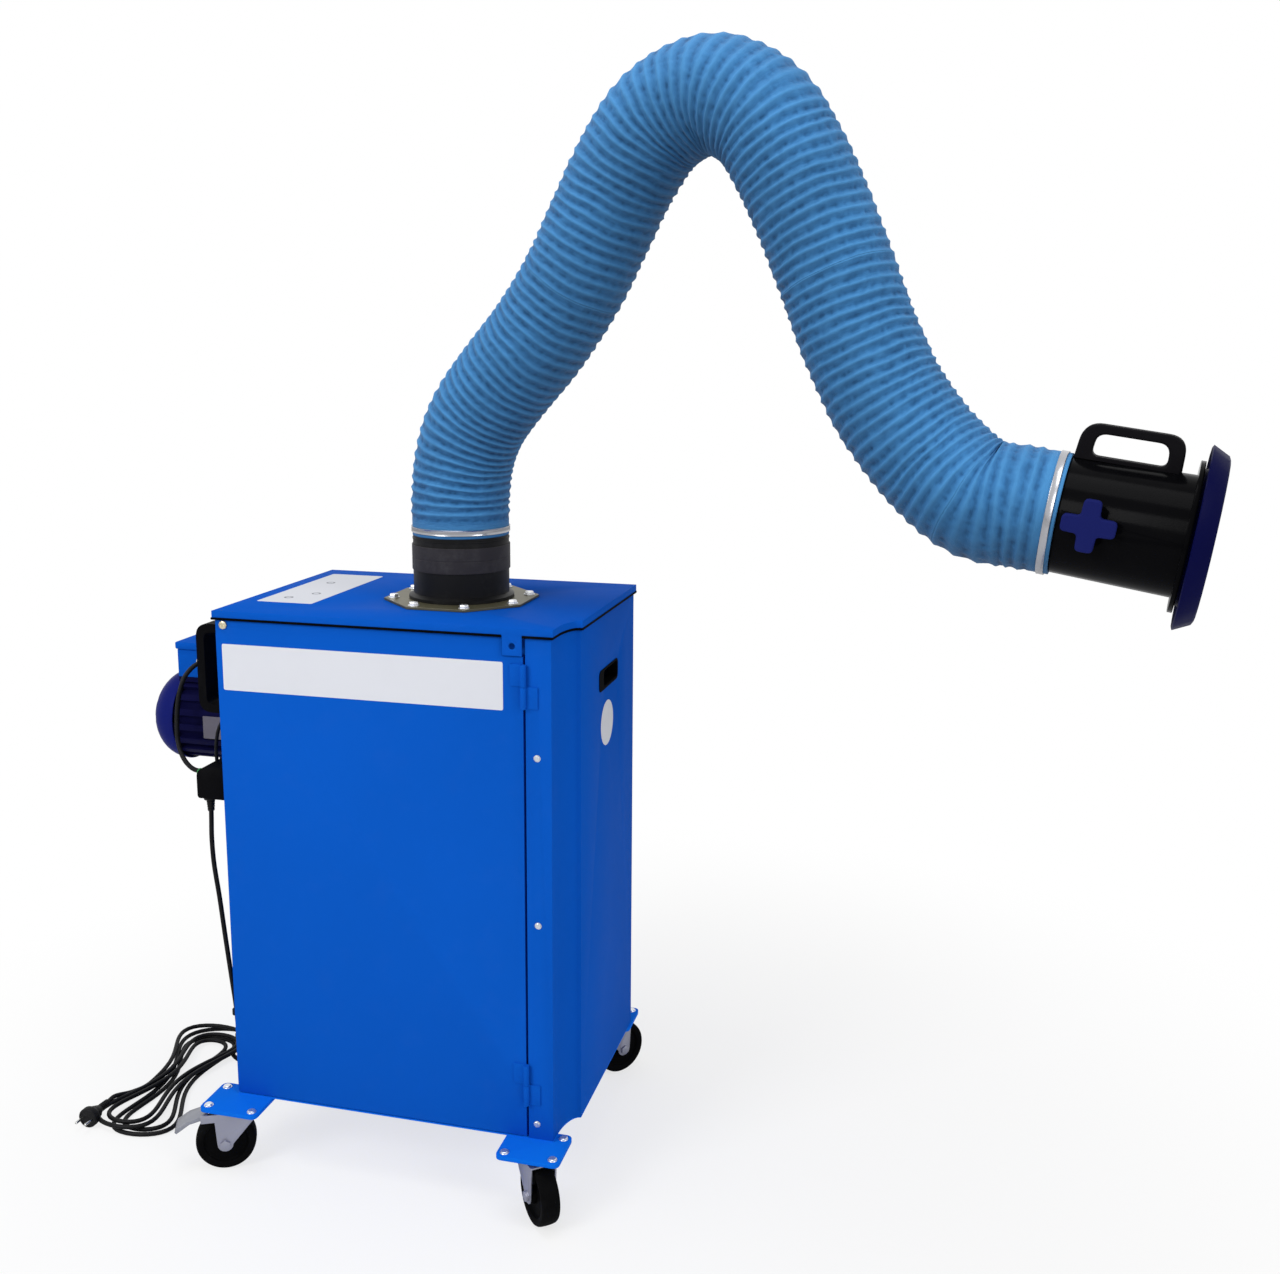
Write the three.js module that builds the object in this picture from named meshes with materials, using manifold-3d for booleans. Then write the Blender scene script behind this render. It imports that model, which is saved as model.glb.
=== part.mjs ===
// Mobile welding fume extractor: a filter cabinet on castors with its fan, motor, mains lead and
// a self-supporting extraction arm. Millimetres, +Z up, the door looks along -Y, the motor along -X.
import * as THREE from 'three';
import { mergeVertices } from 'three/addons/utils/BufferGeometryUtils.js';
import Module from 'manifold-3d';

const wasm = await Module();
wasm.setup();

// Cabinet
const cabinetWidth = 586;
const cabinetDepth = 418;
const cabinetTop = 960;
const sheet = 2;
const coveWidth = 23;
const coveLength = 61;
const cornerReturn = 20;
const postWidth = 41;
const lidOverhang = 4;
const lidLip = 13;
const seatGap = 0.3;
const overrun = 20;

// Door and hinges
const doorDepth = 14;
const doorGap = 4;
const doorTopGap = 15.5;
const doorFloorGap = 4.5;
const knuckleRadius = 5;
const knuckleLength = 34;
const knuckleStandOff = 5.3;
const upperHingeDrop = 90;
const lowerHingeRise = 94.5;

// Castors
const wheelDiameter = 100;
const wheelWidth = 32;
const castorHeight = 114;
const castorTrail = 24;
const cornerPlateThickness = 4;
const castorPlateThickness = 3;
const castorPlateLength = 105;
const castorPlateWidth = 85;
const castorLeftX = -283;
const castorRightX = 243;
const castorOutset = 16;

// Motor and fan
const motorHeight = 724;
const motorBodyLength = 182;
const motorRadius = 77;
const cowlRadius = 82.5;
const cowlLength = 65;
const cowlLip = 4;
const shaftRadius = 9.5;
const turningGap = 0.3;
const impellerRadius = 140;
const impellerWidth = 52;
const fanChamberWidth = 130;
const scrollWidth = 80;

// Filter
const filterX = 65;
const filterRadius = 160;
const filterHeight = 560;
const filterBore = 70;
const plenumHeight = 100;

// Inlet and arm
const inletX = 48;
const ductRadius = 80;
const ductWall = 3;
const ductSegments = 28;
const bandSegments = 20;
const flangeAcross = 250;
const flangeThickness = 4;
const flangeBoltCircle = 112;
const collarHeight = 48;
const sleeveBandHeight = 42;
const sleeveRingHeight = 15;
const armHeading = THREE.MathUtils.degToRad(-16);
const shoulderHeight = 1200;
const lowerLinkLength = 689;
const lowerLinkAngle = THREE.MathUtils.degToRad(49.86);
const upperLinkLength = 719;
const upperLinkAngle = THREE.MathUtils.degToRad(-50.22);
const linkHeight = 25;
const linkWidth = 20;
const tongueWidth = 10;
const pinRadius = 6;
const swingPinRadius = 5;

// Ribbed hose
const hoseCrest = 82.5;
const hoseTrough = 77.5;
const hoseCuff = 80;
const hoseBore = 71;
const ribPitch = 22;
const cuffLength = 22;
const ringPoints = 8;
const boreRibs = 4;
const shoulderBend = 199;
const elbowBend = 139;
const tipBend = 274;

// Hood
const hoodTilt = THREE.MathUtils.degToRad(-8);
const hoodSwing = THREE.MathUtils.degToRad(8);
const hoodSetback = 67;
const swingOffset = 24;
const hoodNeckRadius = 76.5;
const hoodMouthRadius = 79;
const hoodWall = 3;
const hoodLength = 157;
const hoodFlangeRadius = 97.5;
const damperPlace = 40;
const damperRise = 4;

// Mains lead
const leadRadius = 4;
const flexRadius = 4;
const controlRadius = 3;
const leadRest = 4.3;

const quarterTurn = Math.PI / 2;
const halfTurn = Math.PI;
const fullTurn = 2 * Math.PI;
const ductFlatShare = Math.cos(halfTurn / ductSegments);
const bandFlatShare = Math.cos(halfTurn / bandSegments);
const left = -cabinetWidth / 2;
const right = cabinetWidth / 2;
const front = -cabinetDepth / 2;
const back = cabinetDepth / 2;
const floorUnderside = castorHeight + cornerPlateThickness;
const floorTop = floorUnderside + sheet;
const lidUnderside = cabinetTop - sheet;
const lidEdge = cabinetTop - lidLip;
const upperHingeHeight = cabinetTop - upperHingeDrop;
const lowerHingeHeight = floorTop + lowerHingeRise;
const frameFront = front + doorDepth + seatGap;
const postLeft = right - coveWidth - postWidth;
const hingeX = postLeft - doorGap / 2;
const hingeY = front - knuckleStandOff;
const doorRight = postLeft - doorGap;
const partitionX = left + fanChamberWidth;
const leftInside = left + sheet;
const motorEnd = left - motorBodyLength;

function surface(colour, roughness, metalness) {
  return new THREE.MeshStandardMaterial({ color: colour, roughness, metalness });
}

const paint = surface(0x1258bd, 0.45, 0.1);
const brightPaint = surface(0x0e6ef0, 0.45, 0.1);
const zinc = surface(0x9c9ca8, 0.4, 0.9);
const steel = surface(0xc8ccd0, 0.3, 1.0);
const oliveZinc = surface(0x6a6448, 0.45, 0.8);
const blackPlastic = surface(0x151517, 0.45, 0.0);
const greyPlastic = surface(0x2a2a2e, 0.5, 0.0);
const palePlastic = surface(0xbfc2c4, 0.5, 0.0);
const navyPlastic = surface(0x1c1c66, 0.45, 0.0);
const navyPaint = surface(0x252378, 0.45, 0.2);
const blackRubber = surface(0x121214, 0.8, 0.0);
const hoseFabric = surface(0x3f80b8, 0.8, 0.0);
const filterPaper = surface(0xd9d6c8, 0.9, 0.0);
const brass = surface(0xb9a878, 0.35, 0.9);
const greenPlastic = surface(0x2f8a3c, 0.4, 0.0);
const redPlastic = surface(0xb52a22, 0.4, 0.0);

// A closed mesh becomes a solid with its faces pointing out.
function solid(geometry) {
  const bare = geometry.clone();
  bare.deleteAttribute('normal');
  bare.deleteAttribute('uv');
  const welded = mergeVertices(bare);
  const corners = welded.attributes.position.array;
  const faces = Uint32Array.from(welded.index.array);
  if (signedVolume(corners, faces) < 0) {
    for (let i = 0; i < faces.length; i += 3) {
      [faces[i], faces[i + 1]] = [faces[i + 1], faces[i]];
    }
  }
  return new wasm.Manifold(new wasm.Mesh({ numProp: 3, vertProperties: corners, triVerts: faces }));
}

function signedVolume(corners, faces) {
  const a = new THREE.Vector3();
  const b = new THREE.Vector3();
  const c = new THREE.Vector3();
  let sum = 0;
  for (let i = 0; i < faces.length; i += 3) {
    a.fromArray(corners, 3 * faces[i]);
    b.fromArray(corners, 3 * faces[i + 1]);
    c.fromArray(corners, 3 * faces[i + 2]);
    sum += a.dot(b.cross(c));
  }
  return sum;
}

function geometryOf(body) {
  const mesh = body.getMesh();
  const geometry = new THREE.BufferGeometry();
  geometry.setAttribute('position', new THREE.BufferAttribute(mesh.vertProperties, 3));
  geometry.setIndex(new THREE.BufferAttribute(mesh.triVerts, 1));
  geometry.computeVertexNormals();
  return geometry;
}

function piece(name, body, material) {
  const mesh = new THREE.Mesh(body.isBufferGeometry ? body : geometryOf(body), material);
  mesh.name = name;
  return mesh;
}

function joined(...bodies) {
  return bodies.reduce((sum, body) => sum.add(body));
}

function cut(body, ...tools) {
  return tools.reduce((rest, tool) => rest.subtract(tool), body);
}

function box(x0, y0, z0, x1, y1, z1) {
  const geometry = new THREE.BoxGeometry(x1 - x0, y1 - y0, z1 - z0);
  return solid(geometry.translate((x0 + x1) / 2, (y0 + y1) / 2, (z0 + z1) / 2));
}

const drawnAlongX = new THREE.Matrix4().makeBasis(
  new THREE.Vector3(0, 1, 0), new THREE.Vector3(0, 0, 1), new THREE.Vector3(1, 0, 0));
const drawnAlongY = new THREE.Matrix4().makeBasis(
  new THREE.Vector3(1, 0, 0), new THREE.Vector3(0, 0, 1), new THREE.Vector3(0, -1, 0));
const axisAlongX = new THREE.Matrix4().makeRotationZ(-quarterTurn);
const axisAlongZ = new THREE.Matrix4().makeRotationX(quarterTurn);

function outline(points) {
  return new THREE.Shape(points.map(([x, y]) => new THREE.Vector2(x, y)));
}

function extruded(shape, depth, curveSegments = 8) {
  return new THREE.ExtrudeGeometry(shape, { depth, bevelEnabled: false, curveSegments });
}

// Outlines in X and Y raised along Z, in Y and Z along X, or in X and Z along Y.
function raised(shape, z0, z1, curveSegments) {
  return solid(extruded(shape, z1 - z0, curveSegments).translate(0, 0, z0));
}

function acrossX(shape, x0, x1, curveSegments) {
  return solid(extruded(shape, x1 - x0, curveSegments).applyMatrix4(drawnAlongX).translate(x0, 0, 0));
}

function acrossY(shape, y0, y1, curveSegments) {
  return solid(extruded(shape, y1 - y0, curveSegments).applyMatrix4(drawnAlongY).translate(0, y1, 0));
}

// A profile of [radius, height] points turned round the Z axis. A ring's profile closes on itself.
function turned(profile, segments, closes = false) {
  const points = profile.map(([r, h]) => new THREE.Vector2(r, h));
  if (closes) {
    points.push(points[0].clone());
  }
  return solid(new THREE.LatheGeometry(points, segments).applyMatrix4(axisAlongZ));
}

function rod(radius, z0, z1, segments) {
  return turned([[0, z0], [radius, z0], [radius, z1], [0, z1]], segments);
}

function ring(inner, outer, z0, z1, segments) {
  return turned([[inner, z0], [outer, z0], [outer, z1], [inner, z1]], segments, true);
}

function moved(body, x, y, z) {
  return body.translate([x, y, z]);
}

function spun(body, x, y, z) {
  return body.rotate([x, y, z]);
}

// Degrees for the spun function, so that a body's Z axis lies along X or along Y.
const zToX = [0, 90, 0];
const zToY = [-90, 0, 0];

function roundedBox(width, height, radius) {
  const shape = new THREE.Shape();
  const w = width / 2;
  const h = height / 2;
  shape.moveTo(-w + radius, -h);
  shape.lineTo(w - radius, -h);
  shape.absarc(w - radius, -h + radius, radius, -quarterTurn, 0, false);
  shape.lineTo(w, h - radius);
  shape.absarc(w - radius, h - radius, radius, 0, quarterTurn, false);
  shape.lineTo(-w + radius, h);
  shape.absarc(-w + radius, h - radius, radius, quarterTurn, halfTurn, false);
  shape.lineTo(-w, -h + radius);
  shape.absarc(-w + radius, -h + radius, radius, halfTurn, halfTurn + quarterTurn, false);
  return shape;
}

// A bar's side outline from one pivot to another, round at both ends.
function barOutline(length, startRadius, endRadius) {
  const shape = new THREE.Shape();
  shape.absarc(0, 0, startRadius, quarterTurn, halfTurn + quarterTurn, false);
  shape.absarc(length, 0, endRadius, -quarterTurn, quarterTurn, false);
  return shape;
}

// The cabinet's plan, grown outwards by an offset. The right front corner steps in by a cove
// that runs from the narrow front post out to the full width of the side.
function planOutline(grow) {
  const points = [];
  const coveSteps = 7;
  const a = coveWidth - grow;
  const b = coveLength - grow;
  const centreX = right;
  const centreY = front + cornerReturn;
  const last = grow < 0 ? Math.acos(-grow / a) : quarterTurn;
  points.push([left - grow, front - grow]);
  points.push([right - coveWidth + grow, front - grow]);
  for (let i = 0; i <= coveSteps; i += 1) {
    const t = last * i / coveSteps;
    points.push([centreX - a * Math.cos(t), centreY + b * Math.sin(t)]);
  }
  if (grow > 0) {
    points.push([right + grow, centreY + b]);
  }
  points.push([right + grow, back + grow]);
  points.push([left - grow, back + grow]);
  return outline(points);
}

function boltHead(radius, height, x, y, z) {
  const crownShare = 0.7;
  const head = turned([[0, 0], [radius, 0], [radius, height * crownShare],
    [radius * crownShare, height], [0, height]], 8);
  return moved(head, x, y, z);
}

// Folded sheet wrap: three walls, the coved corner, the front post and the welded door frame,
// with the fixed half of each hinge and its pin.
function cabinetShell() {
  const z0 = floorTop + seatGap;
  const z1 = lidUnderside - seatGap;
  const frameWidth = 18;
  const headerHeight = 45;
  const sillHeight = 25;
  const wrap = cut(raised(planOutline(0), z0, z1), raised(planOutline(-sheet), z0 - overrun, z1 + overrun));
  const doorway = box(left - overrun, front - overrun, z0 - overrun, postLeft, frameFront, z1 + overrun);
  const frame = box(leftInside - sheet / 2, frameFront, z0, postLeft + sheet / 2, frameFront + sheet, z1);
  const opening = box(partitionX + frameWidth, frameFront - overrun, z0 + sillHeight,
    postLeft - frameWidth, frameFront + overrun, z1 - headerHeight);
  const postReturn = box(postLeft, front, z0, postLeft + sheet, frameFront + sheet, z1);
  let shell = joined(cut(wrap, doorway), cut(frame, opening), postReturn);
  shell = cut(shell, handHole(), exhaustHole(), motorHole(), lockHole());
  return joined(shell, fixedHinge(upperHingeHeight), fixedHinge(lowerHingeHeight));
}

const handHoleLength = 90;
const handHoleHeight = 32;
const handHoleY = 50;
const handHoleZ = 835;
const handHoleCorner = 9;

function handHole() {
  const shape = roundedBox(handHoleLength, handHoleHeight, handHoleCorner);
  return moved(acrossX(shape, right - overrun, right + overrun, 3), 0, handHoleY, handHoleZ);
}

const exhaustX = -248;
const exhaustDrop = 128;
const exhaustZ = motorHeight - exhaustDrop;
const exhaustWidth = 64;
const exhaustHeight = 96;

function exhaustHole() {
  return box(exhaustX - exhaustWidth / 2, back - overrun, exhaustZ - exhaustHeight / 2,
    exhaustX + exhaustWidth / 2, back + overrun, exhaustZ + exhaustHeight / 2);
}

const motorSpigot = 50;

function motorHole() {
  const plug = spun(rod(motorSpigot, 0, 2 * overrun, 20), ...zToX);
  return moved(plug, left - overrun, 0, motorHeight);
}

const lockInset = 14;
const lockDrop = 10;
const lockX = left + lockInset;
const lockZ = lidEdge - lockDrop;
const lockHeadRadius = 7;
const lockShank = 3;
const lockHeadHeight = 3;

function lockHole() {
  const clearance = 0.8;
  const plug = spun(rod(lockShank + clearance, 0, 2 * overrun, 12), ...zToY);
  return moved(plug, lockX, frameFront - overrun, lockZ);
}

function hingeLeaf(x0, x1, z0) {
  const leafThickness = 2.6;
  return box(x0, front - leafThickness, z0, x1, front + sheet / 2, z0 + knuckleLength);
}

const leafWidth = 22;
const hingePin = 2.6;
const pinDepth = 27;

function fixedHinge(height) {
  const z0 = height - knuckleLength - seatGap;
  const knuckle = rod(knuckleRadius, z0, z0 + knuckleLength, 12);
  const pin = rod(hingePin, z0, z0 + knuckleLength + pinDepth, 10);
  const leaf = hingeLeaf(hingeX, hingeX + leafWidth, z0);
  return joined(moved(joined(knuckle, pin), hingeX, hingeY, 0), leaf);
}

function movingHinge(height) {
  const z0 = height + seatGap;
  const bore = moved(rod(hingePin + turningGap, z0 - overrun, z0 + pinDepth + sheet, 10), hingeX, hingeY, 0);
  const knuckle = moved(rod(knuckleRadius, z0, z0 + knuckleLength, 12), hingeX, hingeY, 0);
  return cut(joined(knuckle, hingeLeaf(hingeX - leafWidth, hingeX, z0)), bore);
}

// Floor pan with its four corner plates. Under each plate the castor's own plate is bolted on,
// with the swivel race and the kingpin that the fork turns on.
const raceRadius = 28;
const raceHeight = 5;
const kingpinRadius = 6;
const kingpinHead = 8;
const forkPlate = 3;
const forkClearance = 0.4;

function baseFrame() {
  const upstand = 14;
  const floor = raised(planOutline(0), floorUnderside, floorTop);
  const fit = sheet + seatGap;
  let rim = cut(raised(planOutline(-fit), floorTop - sheet / 2, floorTop + upstand),
    raised(planOutline(-fit - sheet), floorTop - overrun, floorTop + overrun));
  rim = cut(rim, box(left, front - overrun, floorTop - overrun, right,
    front + doorDepth + 2 * overrun, floorTop + 2 * overrun));
  let frame = joined(floor, rim);
  for (const [x, y] of castorPlaces()) {
    frame = frame.add(moved(castorMount(), x, y, 0));
  }
  return frame;
}

function castorPlaces() {
  const frontY = front - castorOutset;
  const backY = back + castorOutset;
  return [[castorLeftX, frontY], [castorRightX, frontY], [castorLeftX, backY], [castorRightX, backY]];
}

function castorMount() {
  const corner = 10;
  const plateUnder = castorHeight - castorPlateThickness;
  const mount = raised(roundedBox(castorPlateLength, castorPlateWidth, corner), plateUnder, floorUnderside, 2);
  const raceUnder = plateUnder - raceHeight;
  const crownUnder = raceUnder - forkClearance - forkPlate;
  const pinHeadHeight = 3;
  const pinUnder = crownUnder - forkClearance - pinHeadHeight;
  return joined(mount, rod(raceRadius, raceUnder, castorHeight, 14),
    rod(kingpinRadius, crownUnder - sheet, castorHeight, 8),
    rod(kingpinHead, pinUnder, crownUnder - forkClearance, 8));
}

// Castor fork in its own frame: the swivel axis is Z, the wheel trails along +X.
const axleRadius = 6;
const legThickness = 3;
const legGap = 3.2;
const pedalPivotX = 57;
const pedalPivotZ = 97;
const pedalPin = 2.8;

function castorFork(braked) {
  const crownTop = castorHeight - castorPlateThickness - raceHeight - forkClearance;
  const crownUnder = crownTop - forkPlate;
  const legInside = wheelWidth / 2 + legGap;
  const legOutside = legInside + legThickness;
  const hub = wheelDiameter / 2;
  const crownBack = -30;
  const crownFront = 40;
  const hubEnd = 13;
  const crownShoulder = 7;
  const leg = new THREE.Shape();
  leg.moveTo(crownBack, crownTop);
  leg.lineTo(crownBack, crownTop - crownShoulder);
  leg.lineTo(castorTrail - hubEnd, hub);
  leg.absarc(castorTrail, hub, hubEnd, halfTurn, fullTurn, false);
  leg.lineTo(crownFront, crownTop - 2 * crownShoulder);
  if (braked) {
    leg.lineTo(pedalPivotX + 2 * pedalPin, pedalPivotZ - 2 * pedalPin);
    leg.lineTo(pedalPivotX + 2 * pedalPin, crownTop);
  } else {
    leg.lineTo(crownFront, crownTop);
  }
  const crown = box(crownBack, -legOutside, crownUnder, crownFront, legOutside, crownTop);
  let fork = joined(acrossY(leg, legInside, legOutside, 4), acrossY(leg, -legOutside, -legInside, 4), crown);
  fork = cut(fork, rod(kingpinRadius + 2 * forkClearance, crownUnder - overrun, crownTop + overrun, 8));
  const axle = spun(rod(axleRadius - turningGap, -legOutside, legOutside, 10), ...zToY);
  const nutHeight = 5;
  const nutRadius = 9;
  const nut = spun(rod(nutRadius, -legOutside - nutHeight, -legInside - sheet, 6), ...zToY);
  const farNut = spun(rod(nutRadius, legInside + sheet, legOutside + nutHeight, 6), ...zToY);
  fork = joined(fork, moved(joined(axle, nut, farNut), castorTrail, 0, hub));
  if (braked) {
    const pivot = spun(rod(pedalPin - turningGap, -legOutside, legOutside, 8), ...zToY);
    fork = joined(fork, moved(pivot, pedalPivotX, 0, pedalPivotZ));
  }
  return fork;
}

function castorWheel() {
  const segments = 16;
  const tread = wheelDiameter / 2 / Math.cos(halfTurn / segments);
  const shoulder = 5;
  const half = wheelWidth / 2;
  const dish = 7;
  const bossRadius = 14;
  const bossHalf = half + 2;
  const bore = axleRadius;
  const profile = [[bore, -bossHalf], [bossRadius, -bossHalf], [bossRadius, -half + dish],
    [tread - shoulder, -half], [tread, -half + shoulder], [tread, half - shoulder],
    [tread - shoulder, half], [bossRadius, half - dish], [bossRadius, bossHalf], [bore, bossHalf]];
  return spun(spun(turned(profile, segments, true), 0, 0, 180 / segments), ...zToY);
}

// Brake pedal over the wheel: a folded plate on its pin, with a shoe just off the tread.
function brakePedal() {
  const width = wheelWidth + legGap;
  const hub = 5.2;
  const tipX = 106;
  const tipZ = 78;
  const thickness = 3;
  const kneeX = 84;
  const kneeZ = 93;
  const shoe = 3.4;
  const side = outline([[pedalPivotX - hub, pedalPivotZ], [pedalPivotX - hub, pedalPivotZ + hub],
    [pedalPivotX + hub, pedalPivotZ + hub], [kneeX, kneeZ + thickness],
    [tipX - thickness, tipZ + 2 * thickness], [tipX, tipZ], [tipX - thickness, tipZ - thickness], [kneeX - thickness, kneeZ - thickness],
    [pedalPivotX + hub, pedalPivotZ - hub + thickness], [pedalPivotX, pedalPivotZ - hub],
    [pedalPivotX - shoe, pedalPivotZ - hub]]);
  const bore = spun(rod(pedalPin, -width, width, 8), ...zToY);
  return cut(acrossY(side, -width / 2, width / 2), moved(bore, pedalPivotX, 0, pedalPivotZ));
}

// Lid with its turned-down lip, the punched tab beside the hinge and the inlet hole.
const tabWidth = 32;
const tabDrop = 30;
const tabHole = 5;

function topPlate() {
  const lipSheet = 1.5;
  const plate = raised(planOutline(lidOverhang), lidUnderside, cabinetTop);
  const lip = cut(raised(planOutline(lidOverhang), lidEdge, lidUnderside + sheet / 2),
    raised(planOutline(lidOverhang - lipSheet), lidEdge - overrun, lidUnderside));
  const tabFront = front - lidOverhang;
  let tab = box(doorRight - tabWidth, tabFront, lidEdge - tabDrop, doorRight, tabFront + lipSheet,
    lidUnderside);
  const hole = spun(rod(tabHole, 0, 2 * overrun, 16), ...zToY);
  tab = cut(tab, moved(hole, doorRight - tabWidth / 2, front - overrun, lidEdge - tabDrop / 2));
  const inletHole = moved(rod(ductRadius, cabinetTop - overrun, cabinetTop + overrun, 32), inletX, 0, 0);
  return cut(joined(plate, lip, tab), inletHole);
}

// Door: a folded tray over the whole front, notched for the lid's tab.
function doorOutline(inset) {
  const x0 = left + inset;
  const x1 = doorRight - inset;
  const z0 = floorUnderside + doorFloorGap + inset;
  const z1 = cabinetTop - doorTopGap - inset;
  const notchGap = 1.5;
  const notchX = doorRight - tabWidth - notchGap - inset;
  const notchZ = lidEdge - tabDrop - notchGap - inset;
  return outline([[x0, z0], [x1, z0], [x1, notchZ], [notchX, notchZ], [notchX, z1], [x0, z1]]);
}

function doorPanel() {
  const tray = cut(acrossY(doorOutline(0), front, front + doorDepth),
    acrossY(doorOutline(sheet), front + sheet, front + doorDepth + overrun));
  const lockBore = spun(rod(lockShank + turningGap, 0, 2 * overrun, 12), ...zToY);
  const stiffenerWidth = 40;
  const stiffenerX = -34;
  const stiffener = box(stiffenerX - stiffenerWidth / 2, front + sheet / 2, floorTop + stiffenerWidth,
    stiffenerX + stiffenerWidth / 2, front + 2 * sheet, lidEdge - 2 * stiffenerWidth);
  return joined(cut(tray, moved(lockBore, lockX, front - overrun, lockZ)), stiffener,
    movingHinge(upperHingeHeight), movingHinge(lowerHingeHeight));
}

function doorLock() {
  const slotWidth = 1.6;
  const slotDepth = 1.2;
  const shankReach = doorDepth + 2 * sheet;
  const head = spun(boltHead(lockHeadRadius, lockHeadHeight, 0, 0, 0), 90, 0, 0);
  const shank = spun(rod(lockShank, 0, shankReach, 12), ...zToY);
  const slot = box(-lockHeadRadius, -lockHeadHeight - overrun, -slotWidth / 2,
    lockHeadRadius, -lockHeadHeight + slotDepth, slotWidth / 2);
  const plate = moved(cut(joined(head, moved(shank, 0, -sheet / 2, 0)), slot), 0, -seatGap, 0);
  return moved(plate, lockX, front, lockZ);
}

// Inside: the wall of the fan chamber, the filter's shelf and the filter itself.
function fanPartition() {
  const returnHeight = 90;
  const lower = box(partitionX - overrun, front + 3 * overrun, floorTop + sheet, partitionX + overrun,
    back - 3 * overrun, floorTop + returnHeight);
  const wall = box(partitionX, frameFront + sheet + seatGap, floorTop + seatGap,
    partitionX + sheet, back - sheet - seatGap, lidUnderside - seatGap);
  const rim = 16;
  const fit = sheet + seatGap;
  const clearRim = box(partitionX - overrun, back - fit - sheet - seatGap, floorTop - overrun,
    partitionX + overrun, back, floorTop + rim);
  return cut(wall, lower, clearRim);
}

const deckZ = floorTop + plenumHeight;

function filterDeck() {
  const clear = seatGap + sheet;
  const skirt = 20;
  const plan = raised(planOutline(-clear), deckZ - skirt, deckZ);
  const hollow = raised(planOutline(-clear - sheet), deckZ - skirt - overrun, deckZ - sheet);
  const outside = box(left - overrun, front - overrun, deckZ - 2 * overrun,
    partitionX + sheet + seatGap, back + overrun, deckZ + overrun);
  const ahead = box(left - overrun, front - overrun, deckZ - 2 * overrun,
    right + overrun, frameFront + sheet + seatGap, deckZ + overrun);
  const hole = moved(rod(filterBore - seatGap, deckZ - 2 * overrun, deckZ + overrun, 24), filterX, 0, 0);
  return cut(plan, hollow, outside, ahead, hole);
}

function filterCartridge() {
  const pleats = 24;
  const capHeight = 18;
  const capSkirt = 3;
  const pleatDepth = 34;
  const endRing = 8;
  const coreRadius = filterBore + endRing;
  const base = deckZ + seatGap;
  const top = base + filterHeight;
  const points = [];
  for (let i = 0; i < 2 * pleats; i += 1) {
    const r = filterRadius - capSkirt - (i % 2 ? pleatDepth : 0);
    const t = halfTurn * i / pleats;
    points.push([r * Math.cos(t), r * Math.sin(t)]);
  }
  const pack = raised(outline(points), base + capHeight / 2, top - capHeight / 2);
  const lowerCap = rod(filterRadius, base, base + capHeight, 24);
  const upperCap = rod(filterRadius, top - capHeight, top, 24);
  const core = rod(coreRadius, base + capHeight / 2, top - capHeight, 20);
  const mouth = rod(filterBore, base - overrun, base + capHeight, 20);
  const rodHole = rod(tieRadius + turningGap, top - 2 * capHeight, top + overrun, 12);
  return moved(cut(joined(pack, lowerCap, upperCap), core, mouth, rodHole), filterX, 0, 0);
}

const tieRadius = 6;

function filterClamp() {
  const barHalf = 86;
  const barWidth = 26;
  const barThickness = 4;
  const washerRadius = 26;
  const washerThickness = 4;
  const knobRadius = 30;
  const knobDip = 7;
  const knobHeight = 20;
  const top = deckZ + seatGap + filterHeight;
  const under = deckZ - sheet - seatGap;
  const tie = rod(tieRadius, under - barThickness, top + washerThickness + knobHeight, 12);
  const bar = box(-barHalf, -barWidth / 2, under - barThickness, barHalf, barWidth / 2, under);
  const washer = rod(washerRadius, top + seatGap, top + washerThickness, 20);
  const points = [];
  const lobes = 5;
  const steps = 20;
  for (let i = 0; i < steps; i += 1) {
    const t = fullTurn * i / steps;
    const r = knobRadius - knobDip * (1 + Math.cos(lobes * t)) / 2;
    points.push([r * Math.cos(t), r * Math.sin(t)]);
  }
  const knob = raised(outline(points), top + washerThickness, top + washerThickness + knobHeight);
  return moved(joined(tie, bar, washer, knob), filterX, 0, 0);
}

// Deflector plate hung below the inlet: it throws sparks and heavy dust aside.
function sparkBaffle() {
  const radius = 105;
  const drop = 62;
  const legRadius = 4;
  const legPlaces = 98;
  const under = lidUnderside - seatGap;
  const dishShare = 0.1;
  const plateZ = under - drop;
  let baffle = turned([[0, plateZ - sheet], [radius, plateZ + radius * dishShare - sheet],
    [radius, plateZ + radius * dishShare], [0, plateZ]], 16);
  for (let i = 0; i < 4; i += 1) {
    const t = quarterTurn * (i + 0.5);
    const x = legPlaces * Math.cos(t);
    const y = legPlaces * Math.sin(t);
    baffle = baffle.add(moved(rod(legRadius, plateZ, under, 6), x, y, 0));
  }
  return moved(baffle, inletX, 0, 0);
}

// Centrifugal fan: its volute widens with the turn and blows out through the back panel.
const scrollStart = 150;
const scrollGrowth = 40;
const scrollEye = 92;
const tongueAngle = 0.35;
const openAngle = 0.75;
const scrollLeft = leftInside + seatGap;

function scrollOutline(shrink) {
  const steps = 16;
  const points = [];
  const throatTop = exhaustZ + exhaustHeight / 2 - shrink - seatGap;
  const throatBottom = exhaustZ - exhaustHeight / 2 + shrink + seatGap;
  const outlet = back - sheet - seatGap + (shrink > 0 ? overrun : 0);
  for (let i = 0; i <= steps; i += 1) {
    const t = i / steps;
    const angle = -quarterTurn + tongueAngle - t * (fullTurn - openAngle);
    const r = scrollStart + scrollGrowth * (1 - t) - shrink;
    points.push([r * Math.cos(angle), motorHeight + r * Math.sin(angle)]);
  }
  points.push([outlet, throatTop]);
  points.push([outlet, throatBottom]);
  return outline(points);
}

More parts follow.
